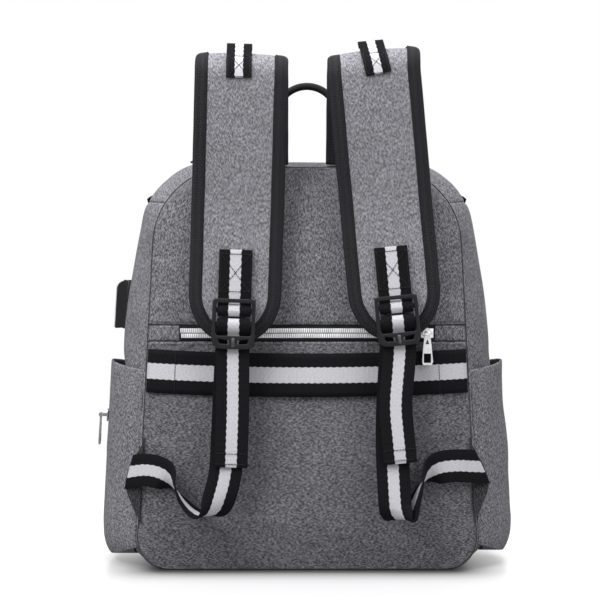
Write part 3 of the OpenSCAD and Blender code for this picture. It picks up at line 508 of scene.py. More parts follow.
def facing(q):
    if q < 1:
        return -QUARTER
    if q < 2:
        return lerp(-QUARTER, LEAN, q - 1)
    return LEAN if q < 3 else lerp(LEAN, QUARTER, min(1, q - 3))


def outline(q):
    a = facing(q)
    if q < 1:
        return q * CX_BASE, 0
    if q < 2:
        return CX_BASE + BASE_R * cos(a), BASE_R + BASE_R * sin(a)
    if q < 3:
        low = CX_BASE + BASE_R * cos(LEAN)
        return lerp(low, CX_TOP + TOP_R * cos(LEAN), q - 2), lerp(Z_LOW, Z_HIGH, q - 2)
    if q < 4:
        return CX_TOP + TOP_R * cos(a), BODY_H - TOP_R + TOP_R * sin(a)
    return lerp(CX_TOP, 0, q - 4), BODY_H


def rear_outline(q):
    """The rear seam rounds the shoulder more gently, at the height of the gusset's seam."""
    if q < Q_SEAM:
        z = outline(q)[1]
        return (outline(q)[0] if q < 2 else half_w(z, True)), z
    if q < 4:
        start = asin((outline(Q_SEAM)[1] - BODY_H + REAR_R) / REAR_R)
        a = lerp(start, QUARTER, (q - Q_SEAM) / (4 - Q_SEAM))
        return CX_REAR + REAR_R * cos(a), BODY_H - REAR_R + REAR_R * sin(a)
    return lerp(CX_REAR, 0, q - 4), BODY_H


def swell(q):
    if q < 1:
        return 0
    if q < 2:
        return SWELL["foot"] * ease(q - 1)
    if q < 3:
        return lerp(SWELL["foot"], SWELL["shoulder"], q - 2) + SWELL["side"] * sin(pi * (q - 2))
    return lerp(SWELL["shoulder"], SWELL["top"], clip(2 * (q - 3)))


def bow(t):
    return max(0, sin(pi * clip(t))) ** 0.75


def band(q, t, proud=0, side=1):
    """A point of the band that joins the two panels, proud of its surface by some millimetres."""
    a = facing(q)
    near = clip(1 - t / REAR_REACH) ** 2
    (x, z), (rear_x, rear_z) = outline(q), rear_outline(q)
    x, z = lerp(x, rear_x, near), lerp(z, rear_z, near)
    push = swell(q) * bow(t)
    x += push * (1 if a < 0 else cos(a)) + proud * cos(a)
    z += (0 if a < 0 else push * sin(a)) + proud * sin(a)
    return side * x, lerp(-REAR_Y, REAR_Y, t), z


def q_at(z):
    if z < Z_LOW:
        return 1 + (asin((z - BASE_R) / BASE_R) + QUARTER) / (LEAN + QUARTER)
    return 2 + (z - Z_LOW) / (Z_HIGH - Z_LOW)


def half_w(z, rear=False):
    cx, r, high = (CX_REAR, REAR_R, Z_REAR) if rear else (CX_TOP, TOP_R, Z_HIGH)
    if z < Z_LOW:
        return CX_BASE + sqrt(max(0, BASE_R**2 - (BASE_R - z) ** 2))
    if z > high:
        return cx + sqrt(max(0, r**2 - (z - BODY_H + r) ** 2))
    return BASE_W / 2 - z * tan(LEAN)


def puffed(x, z):
    """1 in the middle of the back panel, falling to 0 close to its edge."""
    u, v = abs(x) / half_w(z, True), abs(2 * z / BODY_H - 1)
    return (1 - min(1, u) ** PUFF_EDGE) * (1 - min(1, v) ** PUFF_EDGE)


def back_face(x, z):
    return -(REAR_Y + SEAM + EDGE_T + PUFF * puffed(x, z))


def side_x(z, t):
    return half_w(z) + swell(q_at(z)) * bow(t)


def ripple(x, y, z, size, seed):
    """Smooth bumps of about one size, from -1 to 1, the same on every run."""
    return noise.noise(Vector((x / size + seed, y / size, z / size)))


print("panel", round(2 * half_w(0)), "to", round(2 * half_w(BODY_H)), "mm wide")

# %% [markdown]
# ## Tools for cloth
# Every cloth piece starts as a grid primitive. Its points are moved to a place worked out from two
# values, it gets a UV map in metres for its weave, and Solidify and Subdivision Surface finish it.
# A short cloth simulation with its sewn edge pinned lets padded panels swell and wrinkle by
# themselves.


# %% Grids, shells and simulation
def alone(obj):
    bpy.ops.object.select_all(action="DESELECT")
    obj.select_set(True)
    bpy.context.view_layer.objects.active = obj


@contextmanager
def edit_mode(obj, everything=True):
    """Runs what follows on one piece in Edit Mode, with everything in it selected or not."""
    alone(obj)
    bpy.ops.object.mode_set(mode="EDIT")
    if everything:
        bpy.ops.mesh.select_all(action="SELECT")
    yield
    bpy.ops.object.mode_set(mode="OBJECT")


def joined(pieces, name):
    """Joins pieces into the first of them, under a new name."""
    alone(pieces[0])
    for piece in pieces[1:]:
        piece.select_set(True)
    bpy.ops.object.join()
    pieces[0].name = name
    return pieces[0]


def apply(obj, kind, **settings):
    """Adds a modifier, sets it and applies it."""
    alone(obj)
    made = obj.modifiers.new(kind.title(), kind)
    for name, value in settings.items():
        setattr(made, name, value)
    bpy.ops.object.modifier_apply(modifier=made.name)


def lengths(points):
    """Distance along a row of points, in metres, counted from its middle."""
    run = [0.0]
    for a, b in zip(points, points[1:]):
        run.append(run[-1] + (b - a).length)
    return [r - run[-1] / 2 for r in run]


def cloth_grid(name, us, vs, place, inside=(0, 0, 200)):
    """A grid with point (i, j) at place(us[i], vs[j]) in millimetres, facing away from inside."""
    bpy.ops.object.select_all(action="DESELECT")
    bpy.ops.mesh.primitive_grid_add(x_subdivisions=len(us) - 1, y_subdivisions=len(vs) - 1, size=1)
    obj = bpy.context.object
    obj.name = obj.data.name = name
    cols, rows = len(us) - 1, len(vs) - 1
    spot = [[Vector(place(u, v)) * MM for u in us] for v in vs]
    index = []
    for v in obj.data.vertices:
        i, j = round((v.co.x + 0.5) * cols), round((v.co.y + 0.5) * rows)
        index.append((i, j))
        v.co = spot[j][i]
    across = lengths(spot[rows // 2])
    along = lengths([row[cols // 2] for row in spot])
    flat = obj.data.uv_layers[0]
    flat.name = "cloth"
    for loop in obj.data.loops:
        i, j = index[loop.vertex_index]
        flat.data[loop.index].uv = across[i], along[j]
    obj.data.update()
    if inside is not None:
        centre = Vector(inside) * MM
        turned = sum(p.area * p.normal.dot(p.center - centre) for p in obj.data.polygons)
        if turned < 0:
            flip(obj)
    return obj


def flip(obj):
    with edit_mode(obj):
        bpy.ops.mesh.flip_normals()


def cut_window(obj, inside):
    """Deletes the faces whose middle, in millimetres, is inside an opening."""
    with edit_mode(obj, False):
        bpy.ops.mesh.select_mode(type="FACE")
        bpy.ops.mesh.select_all(action="DESELECT")
    for p in obj.data.polygons:
        p.select = inside(*(p.center / MM))
    with edit_mode(obj, False):
        bpy.ops.mesh.delete(type="FACE")


PANEL_CLOTH = {
    "vertex_group_mass": "sewn", "quality": 5, "mass": 0.2, "tension_stiffness": 18,
    "compression_stiffness": 18, "shear_stiffness": 6, "bending_stiffness": 0.6,
    "use_pressure": True, "uniform_pressure_force": 2.5, "shrink_min": -0.006}
SETTLE_FRAMES = 20


def settle(obj, cap):
    """Lets a panel sewn all round swell and wrinkle for some frames, by no more than cap."""
    edge_faces = {}
    for p in obj.data.polygons:
        for key in p.edge_keys:
            edge_faces[key] = edge_faces.get(key, 0) + 1
    sewn = {i for key, n in edge_faces.items() if n == 1 for i in key}
    start = [v.co.copy() for v in obj.data.vertices]
    group = obj.vertex_groups.new(name="sewn")
    group.add(sorted(sewn), 1.0, "REPLACE")
    alone(obj)
    cloth = obj.modifiers.new("Cloth", "CLOTH")
    for name, value in PANEL_CLOTH.items():
        setattr(cloth.settings, name, value)
    cloth.settings.effector_weights.gravity = 0
    cloth.collision_settings.use_collision = False
    for f in range(1, SETTLE_FRAMES + 1):
        bpy.context.scene.frame_set(f)
    bpy.ops.object.modifier_apply(modifier=cloth.name)
    bpy.context.scene.frame_set(1)
    moved = 0
    for v, rest in zip(obj.data.vertices, start):
        step = v.co - rest
        if step.length > cap:
            v.co = rest + step * (cap / step.length)
        moved = max(moved, step.length)
    obj.vertex_groups.clear()
    print(obj.name, "settled, largest move before the cap", round(moved / MM, 1), "mm")


def shell(obj, thick, lining=None, levels=1):
    """Gives cloth its thickness inward and one subdivision; a lining takes the inner face."""
    if lining:
        obj.data.materials.append(None)
        obj.data.materials.append(lining)
    apply(obj, "SOLIDIFY", thickness=thick * MM, offset=-1, material_offset=1 if lining else 0)
    if levels:
        apply(obj, "SUBSURF", levels=levels, render_levels=levels)


def dress(obj, finish, body=None, nodes=()):
    """Gives a piece its finish and its body, and hides the CAD nodes that it stands for."""
    if obj.data.materials:
        obj.data.materials[0] = finish
    else:
        obj.data.materials.append(finish)
    for p in obj.data.polygons:
        p.use_smooth = True
    if nodes:
        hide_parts(*nodes)
    if body:
        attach(obj, body)
    size = obj.dimensions / MM
    print(obj.name, "%.0f x %.0f x %.0f mm" % tuple(size), len(obj.data.polygons), "faces")
    return obj


def sew(obj, thick, finish, node, body="bag"):
    """Lines a heather panel and dresses it."""
    shell(obj, thick, lining_weave)
    return dress(obj, finish, body, [node])


print("cloth tools ready")

# %% [markdown]
# ## Back panel
# The wearer's side is foam behind heather cloth, in two parts that meet at the zip. Each part is
# pinned along its seams and puffed by a short simulation. Small ripples are given to the grid
# first, because cloth needs a first uneven spot to wrinkle from.

# %% Back panel
ZIP_H, ZIP_Z, REAR_ZIP = 7.5, BODY_H * 0.5876, 117
low_zs = [BASE_R * (1 - cos(a)) for a in spread(0, QUARTER, 11)]
low_zs += spread(BASE_R, ZIP_Z - ZIP_H, 40)[1:]
high_zs = spread(ZIP_Z + ZIP_H, BODY_H - REAR_R, 20)
high_zs += [BODY_H - REAR_R + REAR_R * sin(a) for a in spread(0, QUARTER, 17)[1:]]


def back_spot(u, z):
    x = u * half_w(z, True)
    fold = 0.8 * ripple(x, 0, z, 62, 3) + 0.35 * ripple(x, 9, z, 24, 8)
    from_zip = min(abs(z - ZIP_Z - ZIP_H), abs(z - ZIP_Z + ZIP_H))
    pucker = 0.35 * sin(x / 3.1) * exp(-from_zip / 6)
    return x, back_face(x, z) - (fold + pucker) * puffed(x, z), z


# The lower part of the back takes the darker copy of the heather: painted shade.
for name, zs, finish in (("back_upper", high_zs, panel_cloth), ("back_lower", low_zs, lower_cloth_painted_shade)):
    panel = cloth_grid(name, crowded(61), zs, back_spot)
    settle(panel, cap=0.0025)
    sew(panel, 2.6, finish, name.replace("back", "back_panel"))

# %% [markdown]
# Beside the zip the two parts are joined by short strips of the same cloth.

# %% Zip facings
facing_zs = spread(ZIP_Z - ZIP_H + SEAM, ZIP_Z + ZIP_H - SEAM, 7)
facings = []
for side in (-1, 1):
    def facing_spot(u, z):
        x = lerp(REAR_ZIP + SEAM, half_w(z), u)
        return side * x, back_face(x, z) + 0.5, z

    facings.append(cloth_grid("zip_facing", spread(0, 1, 15), facing_zs, facing_spot))
rear_facings = joined(facings, "rear_facings")
shell(rear_facings, 2.0)
dress(rear_facings, panel_cloth, "bag", ["rear_zip_facings"])

# %% [markdown]
# ## Sides, top and base
# Gussets run from the base corner up to the shoulder seam. The top is a strip behind the main zip,
# two shoulder strips in front of it, and a flap that lifts to open the bag.

# %% Gussets
LAP, LAP_T = 2.2, 0.02


def lap(t):
    """How far the edge of a panel reaches into the seam beside it."""
    return LAP * (clip(t / LAP_T - (1 / LAP_T - 1)) - clip(1 - t / LAP_T))


def folded(q, t, side, fold):
    """A point of the band with its folds, given by fold(x, y, z), and its edges in their seams."""
    x, y, z = band(q, t, fold(*band(q, t, 0, side)), side)
    return x, y + lap(t), z


def arc(t, low=0, high=1):
    """Rises from 0 at low to 1 between the two and falls to 0 at high."""
    return sin(pi * clip((t - low) / (high - low)))


depth_ts = [k / 2 + 0.5 for k in crowded(33)]
gusset_qs = spread(1, 2, 9) + spread(2, 3, 40)[1:] + spread(3, Q_SEAM + 0.014, 4)[1:]
for side, label in SIDES:
    def gusset_spot(t, q):
        return folded(q, t, side, lambda x, y, z: arc(t) * (
            1.3 * ripple(side * 40, y, z, 55, 2) + 0.6 * ripple(side * 40, y, z * 0.6, 22, 5)))

    gusset = cloth_grid("gusset_" + label, depth_ts, gusset_qs, gusset_spot)
    settle(gusset, cap=0.002)
    sew(gusset, WALL - 0.6, side_cloth, "side_gusset_" + label)

# %% Top strips and flap
Q_STRIP = Q_SEAM + 0.005
FLAP_HALF, TOP_T = 78, 0.453
rear_ts = [TOP_T * (k / 2 + 0.5) for k in crowded(19)]
front_ts = [1 - TOP_T + TOP_T * (k / 2 + 0.5) for k in crowded(19)]


def top_spot(w, t):
    q = lerp(Q_STRIP, 5, w if w < 1 else 2 - w)
    return folded(q, t, 1 if w < 1 else -1, lambda x, y, z: arc(t, 0, TOP_T) * (
        0.9 * ripple(x, y, z, 48, 11) + 0.4 * ripple(x, y, z, 20, 4)))


top = cloth_grid("top_rear", spread(0, 2, 91), rear_ts, top_spot)
sew(top, WALL - 0.5, side_cloth, "top_strip_rear")

Q_END = 4 + (CX_TOP - FLAP_HALF - SEAM) / CX_TOP
shoulder_qs = spread(Q_STRIP, 4, 24) + [Q_END]
for side, label in SIDES:
    def shoulder_spot(q, t):
        return folded(q, t, side, lambda x, y, z: 0.8 * ripple(x, y, z, 40, 6) * arc(t, 1 - TOP_T))

    strip = cloth_grid("shoulder_" + label, shoulder_qs, front_ts, shoulder_spot)
    sew(strip, WALL - 0.5, side_cloth, "shoulder_strip_" + label)


def flap_spot(x, t):
    _, y, z = band(5, t)
    fold = 0.7 * ripple(x, y, z, 44, 15) * arc(t, 1 - TOP_T)
    return x, y - (SEAM if t > 0.999 else 0), z + fold


flap = cloth_grid("flap", spread(-FLAP_HALF, FLAP_HALF, 45), front_ts, flap_spot)
sew(flap, WALL - 0.5, panel_cloth, "mouth_flap", "mouth_flap")

# %% [markdown]
# The base and the front are plain panels. The base lies flat on the floor, and the front is mostly
# covered by its pocket.

# %% Base and front
FRONT_Y, FRONT_PUFF, BASE_LAP = REAR_Y + SEAM + EDGE_T, 1.5, 1.5


def base_spot(x, y):
    return x, y, max(0, 0.35 + 0.3 * ripple(x, y, 0, 40, 2)) * (1 - (x / CX_BASE) ** 8)


base = cloth_grid("base", spread(-CX_BASE + SEAM, CX_BASE - SEAM, 41),
                  spread(-REAR_Y - BASE_LAP, REAR_Y + BASE_LAP, 27), base_spot)
sew(base, WALL - 0.6, lower_cloth_painted_shade, "base_panel")

front_zs = low_zs[:11] + spread(BASE_R, BODY_H - TOP_R, 40)[1:] + high_zs[22:]


def front_spot(u, z):
    x = u * half_w(z)
    fold = 0.9 * ripple(x, 50, z, 60, 12) + 0.4 * ripple(x, 50, z, 25, 1)
    return x, FRONT_Y + (FRONT_PUFF - 0.6 + fold * 0.4) * puffed(x, z), z


front = cloth_grid("front", crowded(51), front_zs, front_spot)
sew(front, 2.4, panel_cloth, "front_panel")


LINING_Y, LINING_FOOT = -75, 41
REAR_LINING = (2 * REAR_ZIP + 14, ZIP_Z + 12 - LINING_FOOT)


def lining_spot(x, z):
    return x, LINING_Y + 0.5 * ripple(x, 0, z, 40, 3), z


lining = cloth_grid("rear_pocket_back", spread(-REAR_LINING[0] / 2, REAR_LINING[0] / 2, 41),
                    spread(LINING_FOOT, LINING_FOOT + REAR_LINING[1], 31), lining_spot,
                    (0, -200, 100))
shell(lining, 0.6)
dress(lining, lining_weave, "bag", ["rear_pocket_lining"])

# %% [markdown]
# ## Side pockets
# A side pocket is a slack bag of cloth sewn to the gusset along its foot and both edges. Its
# profile is a few points of share-of-fullness and height, joined by a smooth curve. The left
# pocket has a zip, so the faces behind it are deleted before the cloth gets its thickness.


# %% Smooth curves
def curve_through(points, steps):
    """Catmull-Rom curve through points given as tuples."""
    pts = [Vector(p) for p in points]
    out = []
    for i in range(len(pts) - 1):
        a, b, c, d = pts[max(0, i - 1)], pts[i], pts[i + 1], pts[min(len(pts) - 1, i + 2)]
        for k in range(steps):
            t = k / steps
            square, cube = 2 * a - 5 * b + 4 * c - d, 3 * (b - c) + d - a
            out.append(b + 0.5 * t * ((c - a) + t * (square + t * cube)))
    return out + [pts[-1]]


print("a curve of 3 points has", len(curve_through([(0, 0, 0), (1, 0, 0), (2, 1, 0)], 4)), "steps")

# %% Side pockets
POCKET_H, POCKET_SWELL, CLOTH, POCKET_GAP, MOUTH_RISE = 184, 41.5, 2, 0.9, 8
SIDE_ZIP, SIDE_ZIP_MID, EDGE_T0 = 104, 92, 0.004
CORNER_LIFT, FOOT_LIFT, LIFT_TO = 14, {-1: 4, 1: 7}, 70


def pocket_x(z):
    return BASE_W / 2 + POCKET_SWELL - z * tan(LEAN)


window_z = [SIDE_ZIP_MID + k * SIDE_ZIP / 2 * cos(LEAN) for k in (-1, 1)]
heights = [(0, 0, 0), (0.4, 0, 0), (0.74, 0, 0), (0.79, 0.1, 0), (0.8, 0.6, 0), (0.82, 2.5, 0),
           (0.87, 9, 0), (0.94, 20, 0), (1, 36, 0)]
profile = [(p.x, p.y) for p in curve_through(heights, 3)]
profile += [(1, h) for h in spread(window_z[0] - 2, window_z[1] - 2, 22)]
profile += [(1, h) for h in spread(window_z[1] - 2, POCKET_H, 10)[1:]]
zip_t = ZIP_H / BODY_D
pocket_ts = [EDGE_T0 + (0.5 - zip_t - EDGE_T0) * (1 - (1 - k) ** 1.35) for k in spread(0, 1, 17)]
pocket_ts += spread(0.5 - zip_t, 0.5 + zip_t, 5)[1:-1]
pocket_ts += [1 - t for t in reversed(pocket_ts[:17])]

for side, label in SIDES:
    def pocket_spot(t, row):
        share, h = profile[row]
        fill = max(0, sin(pi * (t - EDGE_T0) / (1 - 2 * EDGE_T0))) ** 0.6
        z = 2 + h + (MOUTH_RISE * sin(pi * t) - 2) * (h / POCKET_H) ** 12
        lift = CORNER_LIFT * (1 - sin(pi * t)) ** 1.5 + FOOT_LIFT[side]
        z += lift * clip(1 - h / LIFT_TO) ** 2
        gap = (POCKET_GAP + CLOTH) * lerp(0.4, 1, clip((min(t, 1 - t) - EDGE_T0) / 0.05))
        start = side_x(max(z, 3), t) + gap
        room = pocket_x(z) - side_x(max(z, 3), 0.5) - POCKET_GAP - CLOTH
        y = lerp(-REAR_Y, REAR_Y, t)
        calm = 1 if side > 0 else clip((abs(y) - 10) / 12)
        fold = 1.7 * ripple(side * 60, y, z, 42, 4)
        fold += 0.9 * ripple(side * 60, y * 1.5, z * 0.7, 17, 9)
        gather = 0.8 * sin(y / 1.9) * exp(-(POCKET_H - h) / 9)
        return side * (start + share * room * fill + share * fill * (fold + gather) * calm), y, z

    pocket = cloth_grid("pocket_" + label, pocket_ts, range(len(profile)), pocket_spot)
    if side < 0:
        cut_window(pocket, lambda x, y, z: abs(y) < ZIP_H and window_z[0] < z < window_z[1])
    sew(pocket, CLOTH - 0.4, side_cloth, "side_pocket_" + label)

# %% [markdown]
# ## Front pocket
# The pocket on the far side is a soft box with rounded edges, again with a window for its zip.

# %% Front pocket
FRONT_DEPTH, FRONT_H, FRONT_FOOT, FRONT_INSET = 40, 250, 10, 16
FRONT_ZIP, FRONT_ZIP_Z, FRONT_TAPER = 88, FRONT_H - 42, 0.12


def front_v(z):
    return 2 * (z - FRONT_FOOT) / (FRONT_H - FRONT_FOOT) - 1


def front_half(v, z):
    """Half the front pocket's width, which narrows at its foot and its mouth."""
    return (1 - FRONT_TAPER * abs(v) ** 8) * (half_w(z) - FRONT_INSET)


FRONT_U = FRONT_ZIP / front_half(front_v(FRONT_ZIP_Z), FRONT_ZIP_Z)
pocket_us = [lerp(-1, -FRONT_U, 1 - (1 - k) ** 1.5) for k in spread(0, 1, 15)]
pocket_us += spread(-FRONT_U, FRONT_U, 31)[1:-1] + [-u for u in reversed(pocket_us[:15])]
gap_v = [front_v(FRONT_ZIP_Z + k * ZIP_H) for k in (-1, 1)]
pocket_vs = [lerp(-1, gap_v[0], 1 - (1 - k) ** 1.3) for k in spread(0, 1, 34)]
pocket_vs += spread(gap_v[0], gap_v[1], 5)[1:-1]
pocket_vs += [lerp(gap_v[1], 1, k ** 0.8) for k in spread(0, 1, 12)]


def front_pocket_spot(u, v):
    z = lerp(FRONT_FOOT, FRONT_H, (v + 1) / 2)
    x = u * front_half(v, z)
    full = clip(1 - abs(u) ** 6) ** 0.7 * clip(1 - abs(v) ** 8) ** 0.7
    calm = clip((abs(z - FRONT_ZIP_Z) - ZIP_H) / 20)
    fold = 1.4 * ripple(x, 70, z, 55, 7) + 0.7 * ripple(x, 70, z, 22, 2)
    foot_y = FRONT_Y + FRONT_PUFF + SEAM + CLOTH
    return x, foot_y + (FRONT_DEPTH - CLOTH) * full + fold * full * calm, z


front_pocket = cloth_grid("front_bag", pocket_us, pocket_vs, front_pocket_spot)
cut_window(front_pocket, lambda x, y, z: abs(x) < FRONT_ZIP and abs(z - FRONT_ZIP_Z) < ZIP_H)
sew(front_pocket, CLOTH - 0.2, panel_cloth, "front_pocket")

# %% [markdown]
# ## Shoulder straps
# Each strap rises from the top seam, arches over and hangs down in front of the back panel. Its
# path is a value s from 0 at the seam, through 1 and 2 at the two ends of the arch, to 4 at the
# rounded tip. The face is foam under heather cloth, the back is mesh, and herringbone tape is
# folded over the edge.

# %% Path of a strap
ARCH_R, ARCH_Y, ARCH_Z = 19.5, -99, BODY_H + 79
STRAP_Y0, STRAP_FOOT, HANG_Y = -76, 3.15, -107
TIP_Z = ZIP_Z - 10
LOW_Z = TIP_Z + 102
TIP_L, STRAP_HALF, BIND_W, STRAP_T, LINING_Z = 46, 42, 10.5, 7.5, -3
LEAN_X = {-1: (59.5, 67), 1: (60.5, 83.5)}
RISE_X, RIGHT_RISE = 59.5, 3


def hang_angle(side):
    return side * atan((LEAN_X[side][1] - LEAN_X[side][0]) / (ARCH_Z - TIP_Z))


def strap_yz(s):
    if s < 1:
        return lerp(STRAP_Y0, ARCH_Y + ARCH_R, ease(s)), lerp(BODY_H + STRAP_FOOT, ARCH_Z, s)
    if s < 2:
        a = pi * (s - 1)
        return ARCH_Y + ARCH_R * cos(a), ARCH_Z + ARCH_R * sin(a)
    if s < 3:
        return lerp(ARCH_Y - ARCH_R, HANG_Y, ease(s - 2)), lerp(ARCH_Z, LOW_Z, s - 2)
    return HANG_Y, lerp(LOW_Z, TIP_Z, s - 3)


def strap_normal(s):
    a, b = strap_yz(max(0, s - 0.01)), strap_yz(min(4, s + 0.01))
    t = Vector((b[0] - a[0], b[1] - a[1])).normalized()
    return Vector((0, t.y, -t.x))


def strap_point(s, side, u, off=0):
    """A point of the strap: u across it and off from its middle surface, in millimetres."""
    y, z = strap_yz(s)
    low, high = LEAN_X[side]
    x = lerp(RISE_X, low, s) if s < 1 else low
    if s >= 2:
        x = lerp(low, high, clip((ARCH_Z - z) / (ARCH_Z - TIP_Z)))
    a = hang_angle(side) * ease(clip((s - 0.7) / 0.7))
    if side > 0:
        z += RIGHT_RISE * ease(clip(s))
    return Vector((side * x + u * cos(a), y, z + u * sin(a))) + strap_normal(s) * off


def tip_s(d):
    return 4 - d / (LOW_Z - TIP_Z)


def core_half(s):
    d = (4 - s) * (LOW_Z - TIP_Z) - BIND_W if s > 3 else 1000
    length, half = TIP_L - BIND_W, STRAP_HALF - BIND_W
    return half if d >= length else half * sqrt(max(0, 1 - ((length - d) / length) ** 2))


def follow_strap(obj):
    """Bakes the piece's placement into its points."""
    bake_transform(obj)


strap_ss = spread(0, 1, 18) + spread(1, 2, 30)[1:] + spread(2, 3, 40)[1:]
strap_ss += spread(3, tip_s(TIP_L), 16)[1:]
core_ss = strap_ss + [tip_s(BIND_W + (TIP_L - BIND_W) * (1 - sin(a)))
                      for a in spread(0, QUARTER - 0.06, 15)[1:]]
print("strap length", round(sum((strap_point(b, 1, 0) - strap_point(a, 1, 0)).length
                               for a, b in zip(strap_ss, strap_ss[1:]))), "mm")

# %% Strap faces and backs
TUCK, EDGE_CROWN = 1.4, 2.4
for side, label in SIDES:
    def face_spot(u, s):
        crown = EDGE_CROWN + (STRAP_T + LINING_Z - EDGE_CROWN) * max(0, 1 - u * u) ** 0.6
        wave = 0.45 * ripple(u * 30, side * 20, s * 90, 34, 3) * (1 - u ** 4)
        return strap_point(s, side, u * (core_half(s) + TUCK), crown + wave)

    def mesh_spot(u, s):
        wave = 0.2 * ripple(u * 30, side, s * 90, 12, 5)
        return strap_point(s, side, u * (core_half(s) + TUCK), LINING_Z - 0.9 + wave)

    face = cloth_grid("strap_face_" + label, crowded(25), core_ss, face_spot, None)
    if sum(p.normal.y for p in face.data.polygons if p.center.z < 0.4 and p.center.y < -0.1) > 0:
        flip(face)
    apply(face, "SOLIDIFY", thickness=5.2 * MM, offset=-1)
    # The strap face takes the lighter copy of the heather: painted light.
    dress(face, strap_cloth, None, ["strap_riser_" + label, "strap_pad_" + label])
    follow_strap(face)
    mesh = cloth_grid("strap_mesh_" + label, spread(-1, 1, 13), core_ss, mesh_spot, None)
    apply(mesh, "SOLIDIFY", thickness=0.9 * MM, offset=0)
    dress(mesh, back_mesh, None, ["strap_lining_" + label])
    follow_strap(mesh)

# %% [markdown]
# The binding is one tape that runs down one edge, round the tip and up the other. At each step
# along the edge the tape's folded section is set out from three directions: along the edge, out of
# it, and up from the strap's face.

# %% Strap binding
BIND_PROFILE = [(12.2, 3.0), (11.2, 3.65), (9.2, 3.6), (6, 3.3), (2.8, 2.6), (0.9, 1.3), (0, -0.9),
                (0.8, -2.9), (2.6, -4.2), (6, -4.9), (9.6, -4.9), (10.8, -4.6)]
NOSE_STEPS, HANG_STEP = 34, 60


def edge_walk(side):
    """(point, along, out, up) round the strap's edge, all in millimetres."""
    one_side = [(s, STRAP_HALF) for s in strap_ss]
    nose = [(tip_s(TIP_L * (1 - cos(a))), STRAP_HALF * sin(a))
            for a in spread(QUARTER, -QUARTER, NOSE_STEPS)]
    walk = one_side + nose[1:-1] + [(s, -u) for s, u in reversed(one_side)]
    spots = []
    for s, u in walk:
        wobble = 0.7 * ripple(s * 90, u, side * 9, 40, 6)
        spots.append((s, strap_point(s, side, u + copysign(wobble, u), 0)))
    frames = []
    for k, (s, p) in enumerate(spots):
        ahead = (spots[min(len(spots) - 1, k + 1)][1] - spots[max(0, k - 1)][1]).normalized()
        up = strap_normal(s)
        frames.append((p, ahead, ahead.cross(up).normalized(), up))
    place, _, out, _ = frames[HANG_STEP]
    inward = (place - strap_point(walk[HANG_STEP][0], side, 0)).dot(out) < 0
    return [(p, a, -o if inward else o, n) for p, a, o, n in frames]


for side, label in SIDES:
    walk = edge_walk(side)

    def bind_spot(j, k):
        p, ahead, out, up = walk[k]
        b, lift = BIND_PROFILE[j]
        return p - out * b + up * lift

    steps = range(len(BIND_PROFILE)), range(len(walk))
    tape = cloth_grid("strap_binding_tape_" + label, *steps, bind_spot, None)
    apply(tape, "SOLIDIFY", thickness=0.8 * MM, offset=0)
    apply(tape, "SUBSURF", levels=1, render_levels=1)
    dress(tape, edge_tape, None, ["strap_binding_" + label])
    follow_strap(tape)

# %% [markdown]
# ## Webbing
# A ribbon follows stations, each a middle point and a direction across. Webbing is flat and stiff
# across its width, so it is modelled directly: a grid along the stations, thickened on both sides
# and rounded at its edges.


# %% Ribbons
SLANT_STEPS = 15


def ribbon(name, stations, width, thick=1.5, cols=7, slant=0):
    """A flat strip along stations; slant shears its first end, as where it is sewn into a seam."""
    pts = [Vector(p) for p, _ in stations]
    last = len(pts) - 1

    def ribbon_spot(u, k):
        ahead = (pts[min(last, k + 1)] - pts[max(0, k - 1)]).normalized()
        over = Vector(stations[k][1])
        over = (over - ahead * over.dot(ahead)).normalized()
        return pts[k] + over * u * width + ahead * slant * u * clip(1 - k / SLANT_STEPS) ** 2

    obj = cloth_grid(name, spread(-0.5, 0.5, cols), range(len(pts)), ribbon_spot, None)
    apply(obj, "SOLIDIFY", thickness=thick * MM, offset=0)
    apply(obj, "BEVEL", width=0.35 * MM, segments=2, limit_method="ANGLE", angle_limit=radians(50))
    return obj


def along_curve(stations, steps):
    """Stations smoothed by a curve through their points and their directions."""
    middles = curve_through([p for p, _ in stations], steps)
    overs = curve_through([a for _, a in stations], steps)
    return list(zip(middles, overs))


print("ribbons ready")

# %% Stroller loops
LOOP_W, LOOP_LEAN, WEB_W, WEB_T = 23, 0.2034, 30, 1.5
loop_r = ARCH_R + STRAP_T + LINING_Z + SEAM + WEB_T / 2 + 0.2
LOOP_ROUTE = [(184, 0), (166, 0), (148, 0), (132, 0), (118, 1.5), (108, 4), (101, 6.2), (95, 6.4),
              (91.5, 4.4), (93, 2.2), (100, 1.9), (108, 2)]


def loop_station(side, degrees, rise):
    """A middle point of a strap's loop and the direction across it."""
    a, k = radians(degrees), loop_r + rise
    drop = k * sin(a) - ARCH_R
    slip = -2 if side < 0 else -0.5 - LOOP_LEAN * drop
    middle, over = strap_point(1.5, side, 0), strap_point(1.5, side, 1) - strap_point(1.5, side, 0)
    return Vector((middle.x, ARCH_Y + k * cos(a), middle.z + drop)) + over * slip, over


for side, label in SIDES:
    stations = [loop_station(side, degrees, rise) for degrees, rise in LOOP_ROUTE]
    loop = ribbon("stroller_ring_" + label, along_curve(stations, 5), LOOP_W)
    dress(loop, loop_webbing, "strap_" + label, ["stroller_loop_" + label])

# %% [markdown]
# The buckle's own frame has v down the strap and w out from its face. The tab is a length of
# webbing sewn to the strap, turned round the buckle's top bar and sewn to itself.

# %% Buckle tabs
BAR_Z, BAR_W, HOOK_V, HOOK_R = TIP_Z + 31, 5, 12.6, 2.6
FACE_OFF = STRAP_T + LINING_Z + 0.2
BAR_S = 4 - (BAR_Z - TIP_Z) / (LOW_Z - TIP_Z)


def lock_point(side, v, w):
    c = strap_point(BAR_S, side, 0)
    a = hang_angle(side)
    return Vector((c.x + v * sin(a), HANG_Y - FACE_OFF - w, c.z - v * cos(a)))


def lock_across(side):
    a = hang_angle(side)
    return Vector((cos(a), 0, sin(a)))


